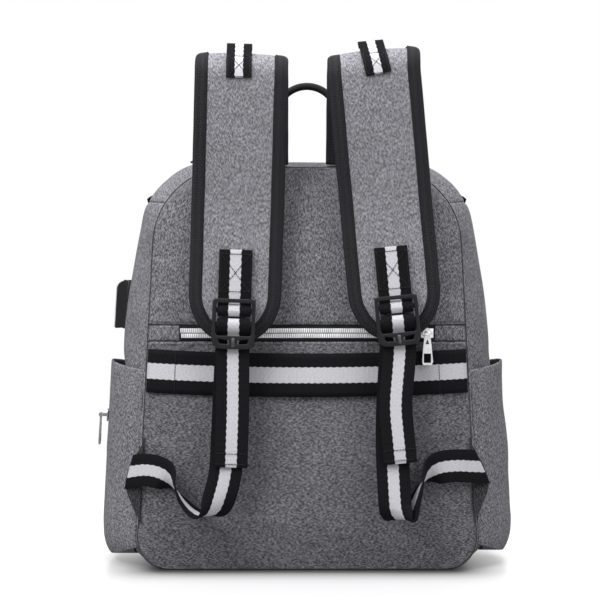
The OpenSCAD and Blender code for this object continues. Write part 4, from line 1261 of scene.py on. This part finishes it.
TAB_TOP = -55
TAB_ROUTE = [(TAB_TOP, 1.05), (-38, 1.05), (-25, 1.05), (-12, 1.05), (-7, 1.2), (-3.6, 1.5)]
TAB_ROUTE += [(4.7 * sin(a), BAR_W - 3.3 * cos(a)) for a in spread(0, pi, 11)]
TAB_ROUTE += [(-2.8, 7.4), (-4.7, 5.6), (-6.2, 4), (-8, 3), (-10.5, 2.68), (-15, 2.65)]
TAB_ROUTE += [(-25, 2.65), (-38, 2.65), (TAB_TOP, 2.65)]
for side, label in SIDES:
    stations = [(lock_point(side, v, w), lock_across(side)) for v, w in TAB_ROUTE]
    tab = ribbon("buckle_strip_" + label, along_curve(stations, 3), WEB_W, WEB_T - 0.05)
    dress(tab, strap_webbing, "strap_" + label, ["buckle_tab_" + label])

# %% [markdown]
# The adjuster webbing leaves its anchor wing, hangs in a slack loop, climbs behind the buckle and
# turns over the lower bar into a free tail. The turn and tail go with the buckle, so the strip is
# made in two lengths that meet behind the bar.

# %% Adjuster webbing
RUNS = {
    -1: [(164.5, 6.2, 90, 0, 0, -1), (149, 13, 92.5, 0, 0, -1), (136, 19, 91, 0, 0, -1),
         (126.5, 22.5, 86, -0.05, 0.3, -0.9), (120, 25, 76.5, -0.15, 0.75, -0.5),
         (113.5, 26.5, 66, -0.25, 0.9, -0.2), (105, 27.5, 57, -0.35, 0.9, -0.05),
         (95, 29.5, 52.5, -0.55, 0.8, 0), (85.5, 33, 57, -0.85, 0.5, 0),
         (79.5, 35, 70, -1, 0.15, 0), (74, 34.5, 93, -1, 0, 0), (72, 31.5, 130, -1, 0, 0)],
    1: [(161.5, 7.6, 95, 0, 0, -1), (150, 13, 96, 0, 0, -1), (136, 19, 97, 0, 0, -1),
        (121, 22.5, 95.5, 0, 0.1, -1), (111, 24.5, 90, -0.1, 0.5, -0.8),
        (103.5, 26, 79, -0.2, 0.85, -0.35), (98, 27, 66, -0.3, 0.95, -0.1),
        (93, 28, 55, -0.5, 0.85, 0), (87, 31, 50, -0.75, 0.6, 0),
        (81.5, 34.5, 55.5, -0.95, 0.25, 0), (79, 35.5, 70, -1, 0, 0), (77, 31.5, 130, -1, 0, 0)]}
TAIL = [(15.4, 8.35), (18.2, 7), (20.6, 5.1), (22.8, 3.9), (26, 3.6), (40, 3.8), (60, 4.6),
        (90, 5.2), (118, 5.6), (142, 5.4)]
TURN_W, TURN_V = HOOK_R + WEB_T / 2 + 0.3, 4.6
PLUMB, PLUMB_FROM, PLUMB_OVER = {-1: 1.5, 1: -9.5}, 28, 70
DRIFT, WING_SLANT = {-1: 1.3, 1: -4}, {-1: 14.5, 1: -19}


def tail_point(side, v, w):
    """The free tail hangs plumb, so it leaves the leaning strap's line."""
    away = PLUMB[side] * ease(clip((v - PLUMB_FROM) / PLUMB_OVER))
    return lock_point(side, v, w) + Vector((away, 0, 0))


for side, label in SIDES:
    over = -lock_across(side)
    run = [((side * x, -REAR_Y - y, z), (a, side * b, side * c)) for x, y, z, a, b, c in RUNS[side]]
    run += [(tuple(lock_point(side, 40, 1.5) + Vector((side * DRIFT[side], 0, 0))), tuple(over)),
            (tuple(lock_point(side, 24, 1.5)), tuple(over)),
            (tuple(lock_point(side, HOOK_V, BAR_W - TURN_W)), tuple(over))]
    slack = ribbon("adjuster_run_" + label, along_curve(run, 6), WEB_W, slant=WING_SLANT[side])
    dress(slack, strap_webbing, None, ["adjuster_webbing_" + label])
    "strap_" + label
    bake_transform(slack)
    turn = [(lock_point(side, HOOK_V - TURN_V * sin(b), BAR_W - TURN_W * cos(b)), over)
            for b in spread(0, pi, 13)]
    turn += [(tail_point(side, v, w), over) for v, w in TAIL]
    end = ribbon("adjuster_tail_" + label, along_curve(turn, 3), WEB_W)
    dress(end, strap_webbing, "lock_" + label)

# %% Luggage band
BAND_Z, BAND_W, BAND_SLACK, BAND_LOOSE, BAND_SEWN = ZIP_Z - 35.5, 40, 4.5, 121, 122.5


def band_spot(v, k):
    z = BAND_Z - v * BAND_W
    x = k * (half_w(z) - 1.5)
    z -= 4 * (1 - k * k) - 1
    loose = BAND_SLACK * clip(1 - (x / BAND_LOOSE) ** 2) ** 0.7
    wave = 0.5 * ripple(x, 0, z, 45, 14) * clip(loose)
    swollen = 2.7 * puffed(x, BAND_Z)
    return x, back_face(x, BAND_Z) - SEAM - max(loose, swollen) - 0.75 - wave, z


luggage = cloth_grid("luggage_strap", spread(-0.5, 0.5, 9), spread(-1, 1, 101), band_spot, None)
apply(luggage, "SOLIDIFY", thickness=1.4 * MM, offset=0)
dress(luggage, band_webbing, "bag", ["luggage_band"])

# %% [markdown]
# ## Anchor wings and handle
# Each wing is a folded triangle of cloth, sewn into the side seam and round the end of the
# webbing. The grab handle is webbing rolled into a cord-like grip: a tube swept along an arch, a
# little flattened, with its feet sewn into the top.

# %% Anchor wings
WING_MID, WING_IN, WING_OUT, WING_REACH = 82, 1.5, 14, 15
WING_EDGE = [(0.4, 42, 0), (1.2, 46, 0), (5, 52, 0), (9.8, 62, 0), (13.5, 71, 0),
             (WING_REACH, 79, 0), (13.5, 87, 0), (10, 97, 0), (5.5, 106, 0), (1.6, 115, 0),
             (0.4, 122, 0)]
wing_rows = curve_through(WING_EDGE, 4)
for side, label in SIDES:
    def wing_spot(u, row):
        reach, z = wing_rows[row].x / WING_REACH, wing_rows[row].y
        x = half_w(z) - WING_IN
        far = lerp(x, half_w(WING_MID) + WING_OUT, u * reach)
        y = lerp(back_face(x, z) - SEAM, -(REAR_Y + EDGE_T), u * reach) - 0.9
        crease = 1.6 * sin(pi * u) * reach * (0.6 + 0.4 * cos((z - WING_MID) / 4.2))
        return side * far, y - 0.4 + crease, z

    wing = cloth_grid("wing_" + label, spread(0, 1, 11), range(len(wing_rows)), wing_spot, None)
    apply(wing, "SOLIDIFY", thickness=1.7 * MM, offset=0)
    # The wing takes the very dark copy of the heather: painted shade.
    dress(wing, wing_cloth_painted_shade, "bag", ["anchor_wing_" + label])

# %% Grab handle
GRIP_R, GRIP_T, GRIP_Y, GRIP_LEG = 29, 8, -50, 39
GRIP_FOOT = BODY_H + SWELL["top"] * bow(0.5 + GRIP_Y / BODY_D) + GRIP_T / 2 + SEAM
grip_path = [(-GRIP_R, z) for z in spread(-2.5, GRIP_LEG, 14)]
grip_path += [(-GRIP_R * cos(a), GRIP_LEG + GRIP_R * sin(a)) for a in spread(0, pi, 37)[1:]]
grip_path += [(GRIP_R, z) for z in spread(GRIP_LEG, -2.5, 14)[1:]]


def grip_spot(k, j):
    x, z = grip_path[j]
    ahead = Vector(grip_path[min(len(grip_path) - 1, j + 1)]) - Vector(grip_path[max(0, j - 1)])
    ahead.normalize()
    a = 2 * pi * k
    thick = GRIP_T / 2 * (1 if z > -2 else 0.6)
    wide, flat = thick * cos(a), thick * 0.86 * sin(a)
    return x + ahead.y * flat, GRIP_Y + wide, GRIP_FOOT + z - ahead.x * flat


grip = cloth_grid("grip", spread(0, 1, 17), range(len(grip_path)), grip_spot, None)
with edit_mode(grip):
    bpy.ops.mesh.remove_doubles(threshold=0.00001)
    bpy.ops.mesh.select_mode(type="VERT")
    bpy.ops.mesh.select_all(action="DESELECT")
    bpy.ops.mesh.select_non_manifold()
    bpy.ops.mesh.fill()
    bpy.ops.mesh.select_all(action="SELECT")
    bpy.ops.mesh.normals_make_consistent(inside=False)
dress(grip, handle_weave, "grab_handle", ["grab_handle"])

# %% [markdown]
# ## Zips
# A zip is two woven tapes with a row of teeth each. A tooth is modelled once, as a bevelled block,
# and copied along both rows. Matrices put each zip where the frame has it: local X along the zip,
# local Z out.

# %% Places of the zips
TOOTH, TOOTH_PITCH, TOOTH_ROW = (1.35, 4.1, 2.2), 1.75, 2.4


def shifted(x, y, z):
    return Matrix.Translation((x, y, z))


def spun(angle, axis):
    return Matrix.Rotation(angle, 4, axis)


rear_zip_at = shifted(0, -(REAR_Y + SEAM + EDGE_T + PUFF) + 1.4, ZIP_Z) @ spun(QUARTER, "X")
main_zip_at = shifted(0, 0, BODY_H + SWELL["top"] - 1.5)
front_zip_at = shifted(0, FRONT_Y + FRONT_DEPTH - 0.5, FRONT_ZIP_Z)
front_zip_at = front_zip_at @ spun(pi, "Z") @ spun(QUARTER, "X")
side_zip_at = shifted(-pocket_x(SIDE_ZIP_MID), 0, SIDE_ZIP_MID) @ spun(LEAN - QUARTER, "Y")
side_zip_at = side_zip_at @ spun(pi, "Z") @ shifted(0, 0, -1)


def pattern(scale, bevel=0):
    """Takes the new primitive apart into points and faces, in millimetres, that can be copied."""
    obj = bpy.context.object
    obj.scale = scale
    bpy.ops.object.transform_apply(location=False, rotation=False, scale=True)
    if bevel:
        apply(obj, "BEVEL", width=bevel, segments=2)
    shape = [v.co.copy() for v in obj.data.vertices], [tuple(p.vertices) for p in obj.data.polygons]
    bpy.data.objects.remove(obj)
    return shape


bpy.ops.object.select_all(action="DESELECT")
bpy.ops.mesh.primitive_cube_add(size=1)
tooth = pattern(TOOTH, 0.32)
print("one tooth has", len(tooth[1]), "faces")


def copies(name, shape, places):
    """One mesh that holds a copy of a small shape at each place (a matrix in millimetres)."""
    points, faces = shape
    verts, polys = [], []
    for place in places:
        first = len(verts)
        verts += [(place @ p) * MM for p in points]
        polys += [tuple(first + i for i in f) for f in faces]
    mesh = bpy.data.meshes.new(name)
    mesh.from_pydata(verts, [], polys)
    obj = bpy.data.objects.new(name, mesh)
    bpy.context.scene.collection.objects.link(obj)
    return obj


def zip_rows(name, at, rows):
    """Teeth for several rows, each (from, to, half) along the zip, half being 1 or -1."""
    places = []
    for low, high, half in rows:
        count = int((high - low - 2) / TOOTH_PITCH)
        shift = 0 if half > 0 else TOOTH_PITCH / 2
        for i in range(count):
            places.append(at @ shifted(low + 1 + shift + i * TOOTH_PITCH, half * TOOTH_ROW, 0))
    return copies(name, tooth, places)


def zip_tapes(name, at, rows):
    made = []
    for low, high, half in rows:
        spans = max(2, int((high - low) / 6))
        strip = cloth_grid(name, spread(low, high, spans + 1), spread(1.0, ZIP_H - SEAM, 4),
                           lambda x, y: at @ Vector((x, half * y, -0.25)), None)
        made.append(strip)
    tapes = joined(made, name)
    apply(tapes, "SOLIDIFY", thickness=0.6 * MM, offset=0)
    return tapes


# %% The zips
def both(half):
    """The two rows of a zip that is closed all along."""
    return [(-half, half, 1), (-half, half, -1)]


TAPE_END = CX_TOP - SEAM
main_rows = [(-TAPE_END, TAPE_END, -1), (FLAP_HALF + SEAM, TAPE_END, 1),
             (-TAPE_END, -FLAP_HALF - SEAM, 1)]
flap_rows = [(-FLAP_HALF, FLAP_HALF, 1)]
for label, at, rows, finish, slot, body in (
        ("rear_zip", rear_zip_at, both(REAR_ZIP), tooth_metal, "zip_silver", "bag"),
        ("side_zip", side_zip_at, both(SIDE_ZIP / 2 - SEAM), tooth_metal, "zip_silver", "bag"),
        ("front_zip", front_zip_at, both(FRONT_ZIP - SEAM), tooth_metal, "zip_silver", "bag"),
        ("main_zip", main_zip_at, main_rows, black_enamel, "zip_black", "bag"),
        ("flap_zip", main_zip_at, flap_rows, black_enamel, "zip_black", "mouth_flap")):
    dress(zip_rows(label + "_row", at, rows), finish, body, [label + "_teeth"])
    dress(zip_tapes(label + "_strip", at, rows), zip_weave, body, [label + "_tape"])

# %% Zip ends over the shoulders
END_RISE = [-0.9, -0.4, -0.1, 0.0, -0.1, -0.4, -0.9]
STOP_H, STOP_Q = 4.5, 0.04
end_qs = spread(Q_STRIP, 3.996, 26)
end_half = (ZIP_H - SEAM) / BODY_D
end_ts = spread(0.5 - end_half, 0.5 + end_half, len(END_RISE))
ends = []
for side in (-1, 1):
    def end_spot(j, q):
        stop = STOP_H * exp(-((q - Q_STRIP - STOP_Q) / STOP_Q) ** 2)
        return band(q, end_ts[j], END_RISE[j] + stop, side)

    ends.append(cloth_grid("zip_end", range(len(END_RISE)), end_qs, end_spot))
zip_ends = joined(ends, "shoulder_zip_ends")
apply(zip_ends, "SOLIDIFY", thickness=1.4 * MM, offset=-1)
dress(zip_ends, zip_weave, "bag", ["main_zip_ends"])

# %% [markdown]
# ## Seams and stitches
# A sewn edge reads as a thin dark line where two cloths meet, so a fine dark cord follows the
# outline of the back, partly the seam itself and partly painted shade in its groove. Stitches are
# short thread capsules: one is modelled, and copies are strung along paths that lie on the surface
# of the piece they hold.

# %% One stitch
bpy.ops.object.select_all(action="DESELECT")
bpy.ops.mesh.primitive_uv_sphere_add(segments=6, ring_count=5, radius=0.5)
stitch = pattern((2.8, 0.95, 0.6))
print("one stitch has", len(stitch[1]), "faces")


PANEL_PITCH, BAND_PITCH, WEB_PITCH, HEM_PITCH = 3.1, 2.6, 2.7, 3.0


def stitches(name, paths, pitch):
    """Thread along paths of points in millimetres, one stitch for each pitch."""
    places = []
    for path in paths:
        left = pitch / 2
        for a, b in zip(path, path[1:]):
            step = b - a
            turn = step.to_track_quat("X", "Z").to_matrix().to_4x4()
            while left < step.length:
                places.append(Matrix.Translation(a + step * (left / step.length)) @ turn)
                left += pitch
            left -= step.length
    return copies(name, stitch, places)


# %% Seam round the back
CORD_R, CORD_IN = 0.45, 2.6
seam_qs = [0]
for corner, count in enumerate((12, 14, 50, 22, 12)):
    seam_qs += spread(corner, corner + 1, count)[1:]
seam_walk = [(1, q) for q in seam_qs] + [(-1, q) for q in reversed(seam_qs[:-1])]


def seam_spot(k, j):
    side, q = seam_walk[j]
    a = 2 * pi * k
    x, y, z = band(q, 0, 0.2 + CORD_R * cos(a), side)
    return x, y - CORD_IN + CORD_R * sin(a), max(z, 0.1) + (0.9 if q < 1 else 0)


seam = cloth_grid("back_seam", spread(0, 1, 9), range(len(seam_walk)), seam_spot)
# The cord's dark tone is partly the seam and partly painted shade in the groove.
dress(seam, seam_painted_shade, "bag")

# %% Stitches on the bag
lines = []
for side in (-1, 1):
    for z in (ZIP_Z + ZIP_H + 3, ZIP_Z - ZIP_H - 3):
        xs = spread(half_w(z) - 3, 4, 60)
        lines.append([Vector((side * x, back_face(x, z) - 0.3, z)) for x in xs])
dress(stitches("panel_stitches", lines, PANEL_PITCH), grey_thread, "bag")

lines = []
for side in (-1, 1):
    spots = [band_spot(v, side * BAND_SEWN / half_w(BAND_Z)) for v in spread(-0.48, 0.48, 12)]
    lines.append([Vector(p) + Vector((0, -0.9, 0)) for p in spots])
dress(stitches("band_stitches", lines, BAND_PITCH), black_thread, "bag")

# %% [markdown]
# Webbing is held by a cross in a box, sewn with black thread that shows on the white stripe. The
# loop and the tab above each buckle get theirs, the hemmed end of each tail gets two straight
# lines, and a line of stitches holds the binding.

# %% Stitches on the straps
LOOP_PROUD, TAB_PROUD, TAIL_PROUD = 0.95, 3.55, 6.5
HEM_IN, HEM_UP = 10.6, 4.15


def cross_box(spot, half, low, high):
    """Paths of a box with its diagonals, on a surface given by spot(across, along)."""
    corners = [(-half, low), (half, low), (half, high), (-half, high)]
    runs = [(corners[i], corners[j]) for i, j in ((0, 1), (1, 2), (2, 3), (3, 0), (0, 2), (1, 3))]
    return [[spot(lerp(a[0], b[0], t), lerp(a[1], b[1], t)) for t in spread(0, 1, 14)]
            for a, b in runs]


for side, label in SIDES:
    def loop_face(u, degrees):
        middle, over = loop_station(side, degrees, LOOP_PROUD)
        return middle + over * u

    def tab_face(u, v):
        return lock_point(side, v, TAB_PROUD) + lock_across(side) * u

    def tail_face(u, v):
        return tail_point(side, v, TAIL_PROUD) + lock_across(side) * u

    paths = cross_box(loop_face, 10, 182, 134) + cross_box(tab_face, 13.4, TAB_TOP + 4, -17)
    sewn = stitches("web_stitches_" + label, paths, WEB_PITCH)
    dress(sewn, black_thread, "strap_" + label)
    ends = [[tail_face(u, v) for u in spread(-14, 14, 20)] for v in (129.5, 139)]
    sewn = stitches("tail_stitches_" + label, ends, WEB_PITCH)
    dress(sewn, black_thread, "lock_" + label)
    hem = [p - out * HEM_IN + up * HEM_UP for p, ahead, out, up in edge_walk(side)]
    sewn = stitches("binding_stitches_" + label, [hem], HEM_PITCH)
    dress(sewn, black_thread)
    follow_strap(sewn)

# %% [markdown]
# ## Buckles
# A ladder-lock is one moulding: a face plate with a window and three cut-outs in its lip, two side
# rails behind it and two bars. The plate is a flat curve with holes, made solid with round edges
# by the curve's own bevel. Rails and bars are cubes and cylinders, and all are joined and put in
# the buckle's frame.

# %% Ladder-lock buckles
def softened(corners, steps=7):
    """A closed outline through corners (x, y, radius), each of them rounded."""
    made, count = [], len(corners)
    for i, (x, y, radius) in enumerate(corners):
        corner = Vector((x, y))
        ends = [Vector(corners[(i + k) % count][:2]) for k in (-1, 1)]
        near = [corner + (end - corner).normalized() * radius for end in ends]
        made += [near[0].lerp(corner, t).lerp(corner.lerp(near[1], t), t)
                 for t in spread(0, 1, steps)]
    return made


wedge = [(3.6, -27.2, 0.8), (13.8, -25.8, 1.2), (12.4, -30.2, 1), (3.6, -30.6, 0.8)]
LOCK_OUTLINES = [
    [(-19.5, 10.5, 4.5), (-19.5, -35, 9.5), (19.5, -35, 9.5), (19.5, 10.5, 4.5)],
    [(-16.2, 6.9, 2.5), (16.2, 6.9, 2.5), (16.2, -23, 3), (-16.2, -23, 3)],
    [(-1.4, -25, 1.2), (1.4, -25, 1.2), (1.4, -32.4, 1.2), (-1.4, -32.4, 1.2)],
    wedge, [(-x, y, r) for x, y, r in reversed(wedge)]]
PLATE_OUT, RAIL_X, RAIL_MID, RAIL_SIZE = 7.8, 17.75, (-8, 6), (3.1, 36, 5.6)
TOP_BAR_R, BAR_L = 2.2, 34


def lock_plate():
    flat = bpy.data.curves.new("lock_plate", "CURVE")
    flat.dimensions, flat.fill_mode = "2D", "BOTH"
    flat.extrude, flat.bevel_depth, flat.bevel_resolution, flat.offset = 0.6, 0.9, 3, -0.9
    for corners in LOCK_OUTLINES:
        points = softened(corners)
        spline = flat.splines.new("POLY")
        spline.points.add(len(points) - 1)
        for place, p in zip(spline.points, points):
            place.co = (p.x, p.y, 0, 1)
        spline.use_cyclic_u = True
    plate = bpy.data.objects.new("lock_plate", flat)
    bpy.context.scene.collection.objects.link(plate)
    alone(plate)
    plate.location.z = PLATE_OUT
    bpy.ops.object.convert(target="MESH")
    bpy.ops.object.transform_apply(location=True, rotation=True, scale=True)
    return bpy.context.object


for side, label in SIDES:
    made = [lock_plate()]
    bpy.ops.object.select_all(action="DESELECT")
    for x in (-RAIL_X, RAIL_X):
        bpy.ops.mesh.primitive_cube_add(size=1, location=(x, *RAIL_MID), scale=RAIL_SIZE)
        made.append(bpy.context.object)
    for y, radius in ((0, TOP_BAR_R), (-HOOK_V, HOOK_R)):
        bpy.ops.mesh.primitive_cylinder_add(vertices=24, radius=radius, depth=BAR_L,
                                            location=(0, y, BAR_W), rotation=(0, QUARTER, 0))
        made.append(bpy.context.object)
    for obj in made[1:]:
        alone(obj)
        bpy.ops.object.transform_apply(location=True, rotation=True, scale=True)
        apply(obj, "BEVEL", width=0.9, segments=3, limit_method="ANGLE", angle_limit=radians(50))
    lock = joined(made, "lock_frame_" + label)
    lock.data.name = lock.name
    for v in lock.data.vertices:
        v.co = (lock_point(side, -v.co.y, v.co.z) + lock_across(side) * v.co.x) * MM
    with edit_mode(lock):
        bpy.ops.mesh.remove_doubles(threshold=0.00001)
        bpy.ops.mesh.normals_make_consistent(inside=False)
    dress(lock, buckle_plastic, "lock_" + label, ["ladder_lock_" + label])
    alone(lock)
    bpy.ops.object.shade_smooth_by_angle(angle=radians(40))

# %% [markdown]
# ## Hard pieces
# Sliders, pullers and the USB port already have the right form in the frame. A copy of each has
# its loose triangles merged, its flat faces joined again and its edges rounded by a small bevel,
# as a moulding or a casting has. The flange of the USB port goes under the cloth of the gusset.


# %% Rounded copies of the hard pieces
def rounded(node, finish, body, width, edge=None):
    source = frame["nodes"][node]
    obj = source.copy()
    obj.data = source.data.copy()
    obj.parent = None
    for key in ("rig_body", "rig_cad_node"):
        del obj[key]
    obj.name = obj.data.name = node + "_cast"
    bpy.context.scene.collection.objects.link(obj)
    obj.data.materials.clear()
    # A second finish, when given, goes on the bevel's faces; the port's pale one is a painted
    # highlight.
    for made in (finish, edge or finish):
        obj.data.materials.append(made)
    with edit_mode(obj):
        bpy.ops.mesh.remove_doubles(threshold=0.000005)
        bpy.ops.mesh.dissolve_limited(angle_limit=radians(1))
    apply(obj, "BEVEL", width=width * MM, segments=2, limit_method="ANGLE", angle_limit=radians(38),
          material=1, use_clamp_overlap=edge is None)
    apply(obj, "TRIANGULATE")
    dress(obj, finish, body, [node])
    alone(obj)
    bpy.ops.object.shade_smooth_by_angle(angle=radians(32))
    return obj


CAST_EDGE, PORT_EDGE = 0.25, 0.95
for _, label in SIDES:
    for kind in ("_slider_", "_puller_"):
        body = "main" + kind + label
        rounded("main_zip" + kind + label, black_enamel, body, CAST_EDGE)
for label, finish in (("rear", nickel), ("side", nickel_painted_shade), ("front", nickel)):
    for kind in ("_slider", "_puller"):
        rounded(label + "_zip" + kind, finish, label + kind, CAST_EDGE)
port = rounded("usb_housing", port_plastic, "bag", PORT_EDGE, port_painted_highlight)

# %% [markdown]
# The edges that the bevel gave the port take a pale plastic as a painted highlight. Only those on
# its outer face keep that tone.

# %% The port's flange and painted highlight
USB_Z, USB_LEAN = BODY_H * 0.66, radians(8)
PORT_HALF, FLANGE_T, FLANGE_SINK, PAINTED_HIGHLIGHT_FROM = (14.6, 23.8), 3.2, 6, 8
port_at = Vector((-side_x(USB_Z, 0.5) - SEAM, 0, USB_Z))
port_out = Vector((-cos(USB_LEAN), 0, sin(USB_LEAN)))
port_up = Vector((sin(USB_LEAN), 0, cos(USB_LEAN)))
for v in port.data.vertices:
    place = v.co / MM - port_at
    outside = abs(place.y) > PORT_HALF[0] or abs(place.dot(port_up)) > PORT_HALF[1]
    if outside and place.dot(port_out) < FLANGE_T:
        v.co -= port_out * FLANGE_SINK * MM
# Only bevel faces out on the port's face keep the pale painted highlight.
for face in port.data.polygons:
    if (face.center / MM - port_at).dot(port_out) < PAINTED_HIGHLIGHT_FROM:
        face.material_index = 0
for node, finish in (("usb_socket", nickel), ("base_board", board_plastic)):
    frame["nodes"][node].data.materials.clear()
    frame["nodes"][node].data.materials.append(finish)
print("hard pieces rounded")
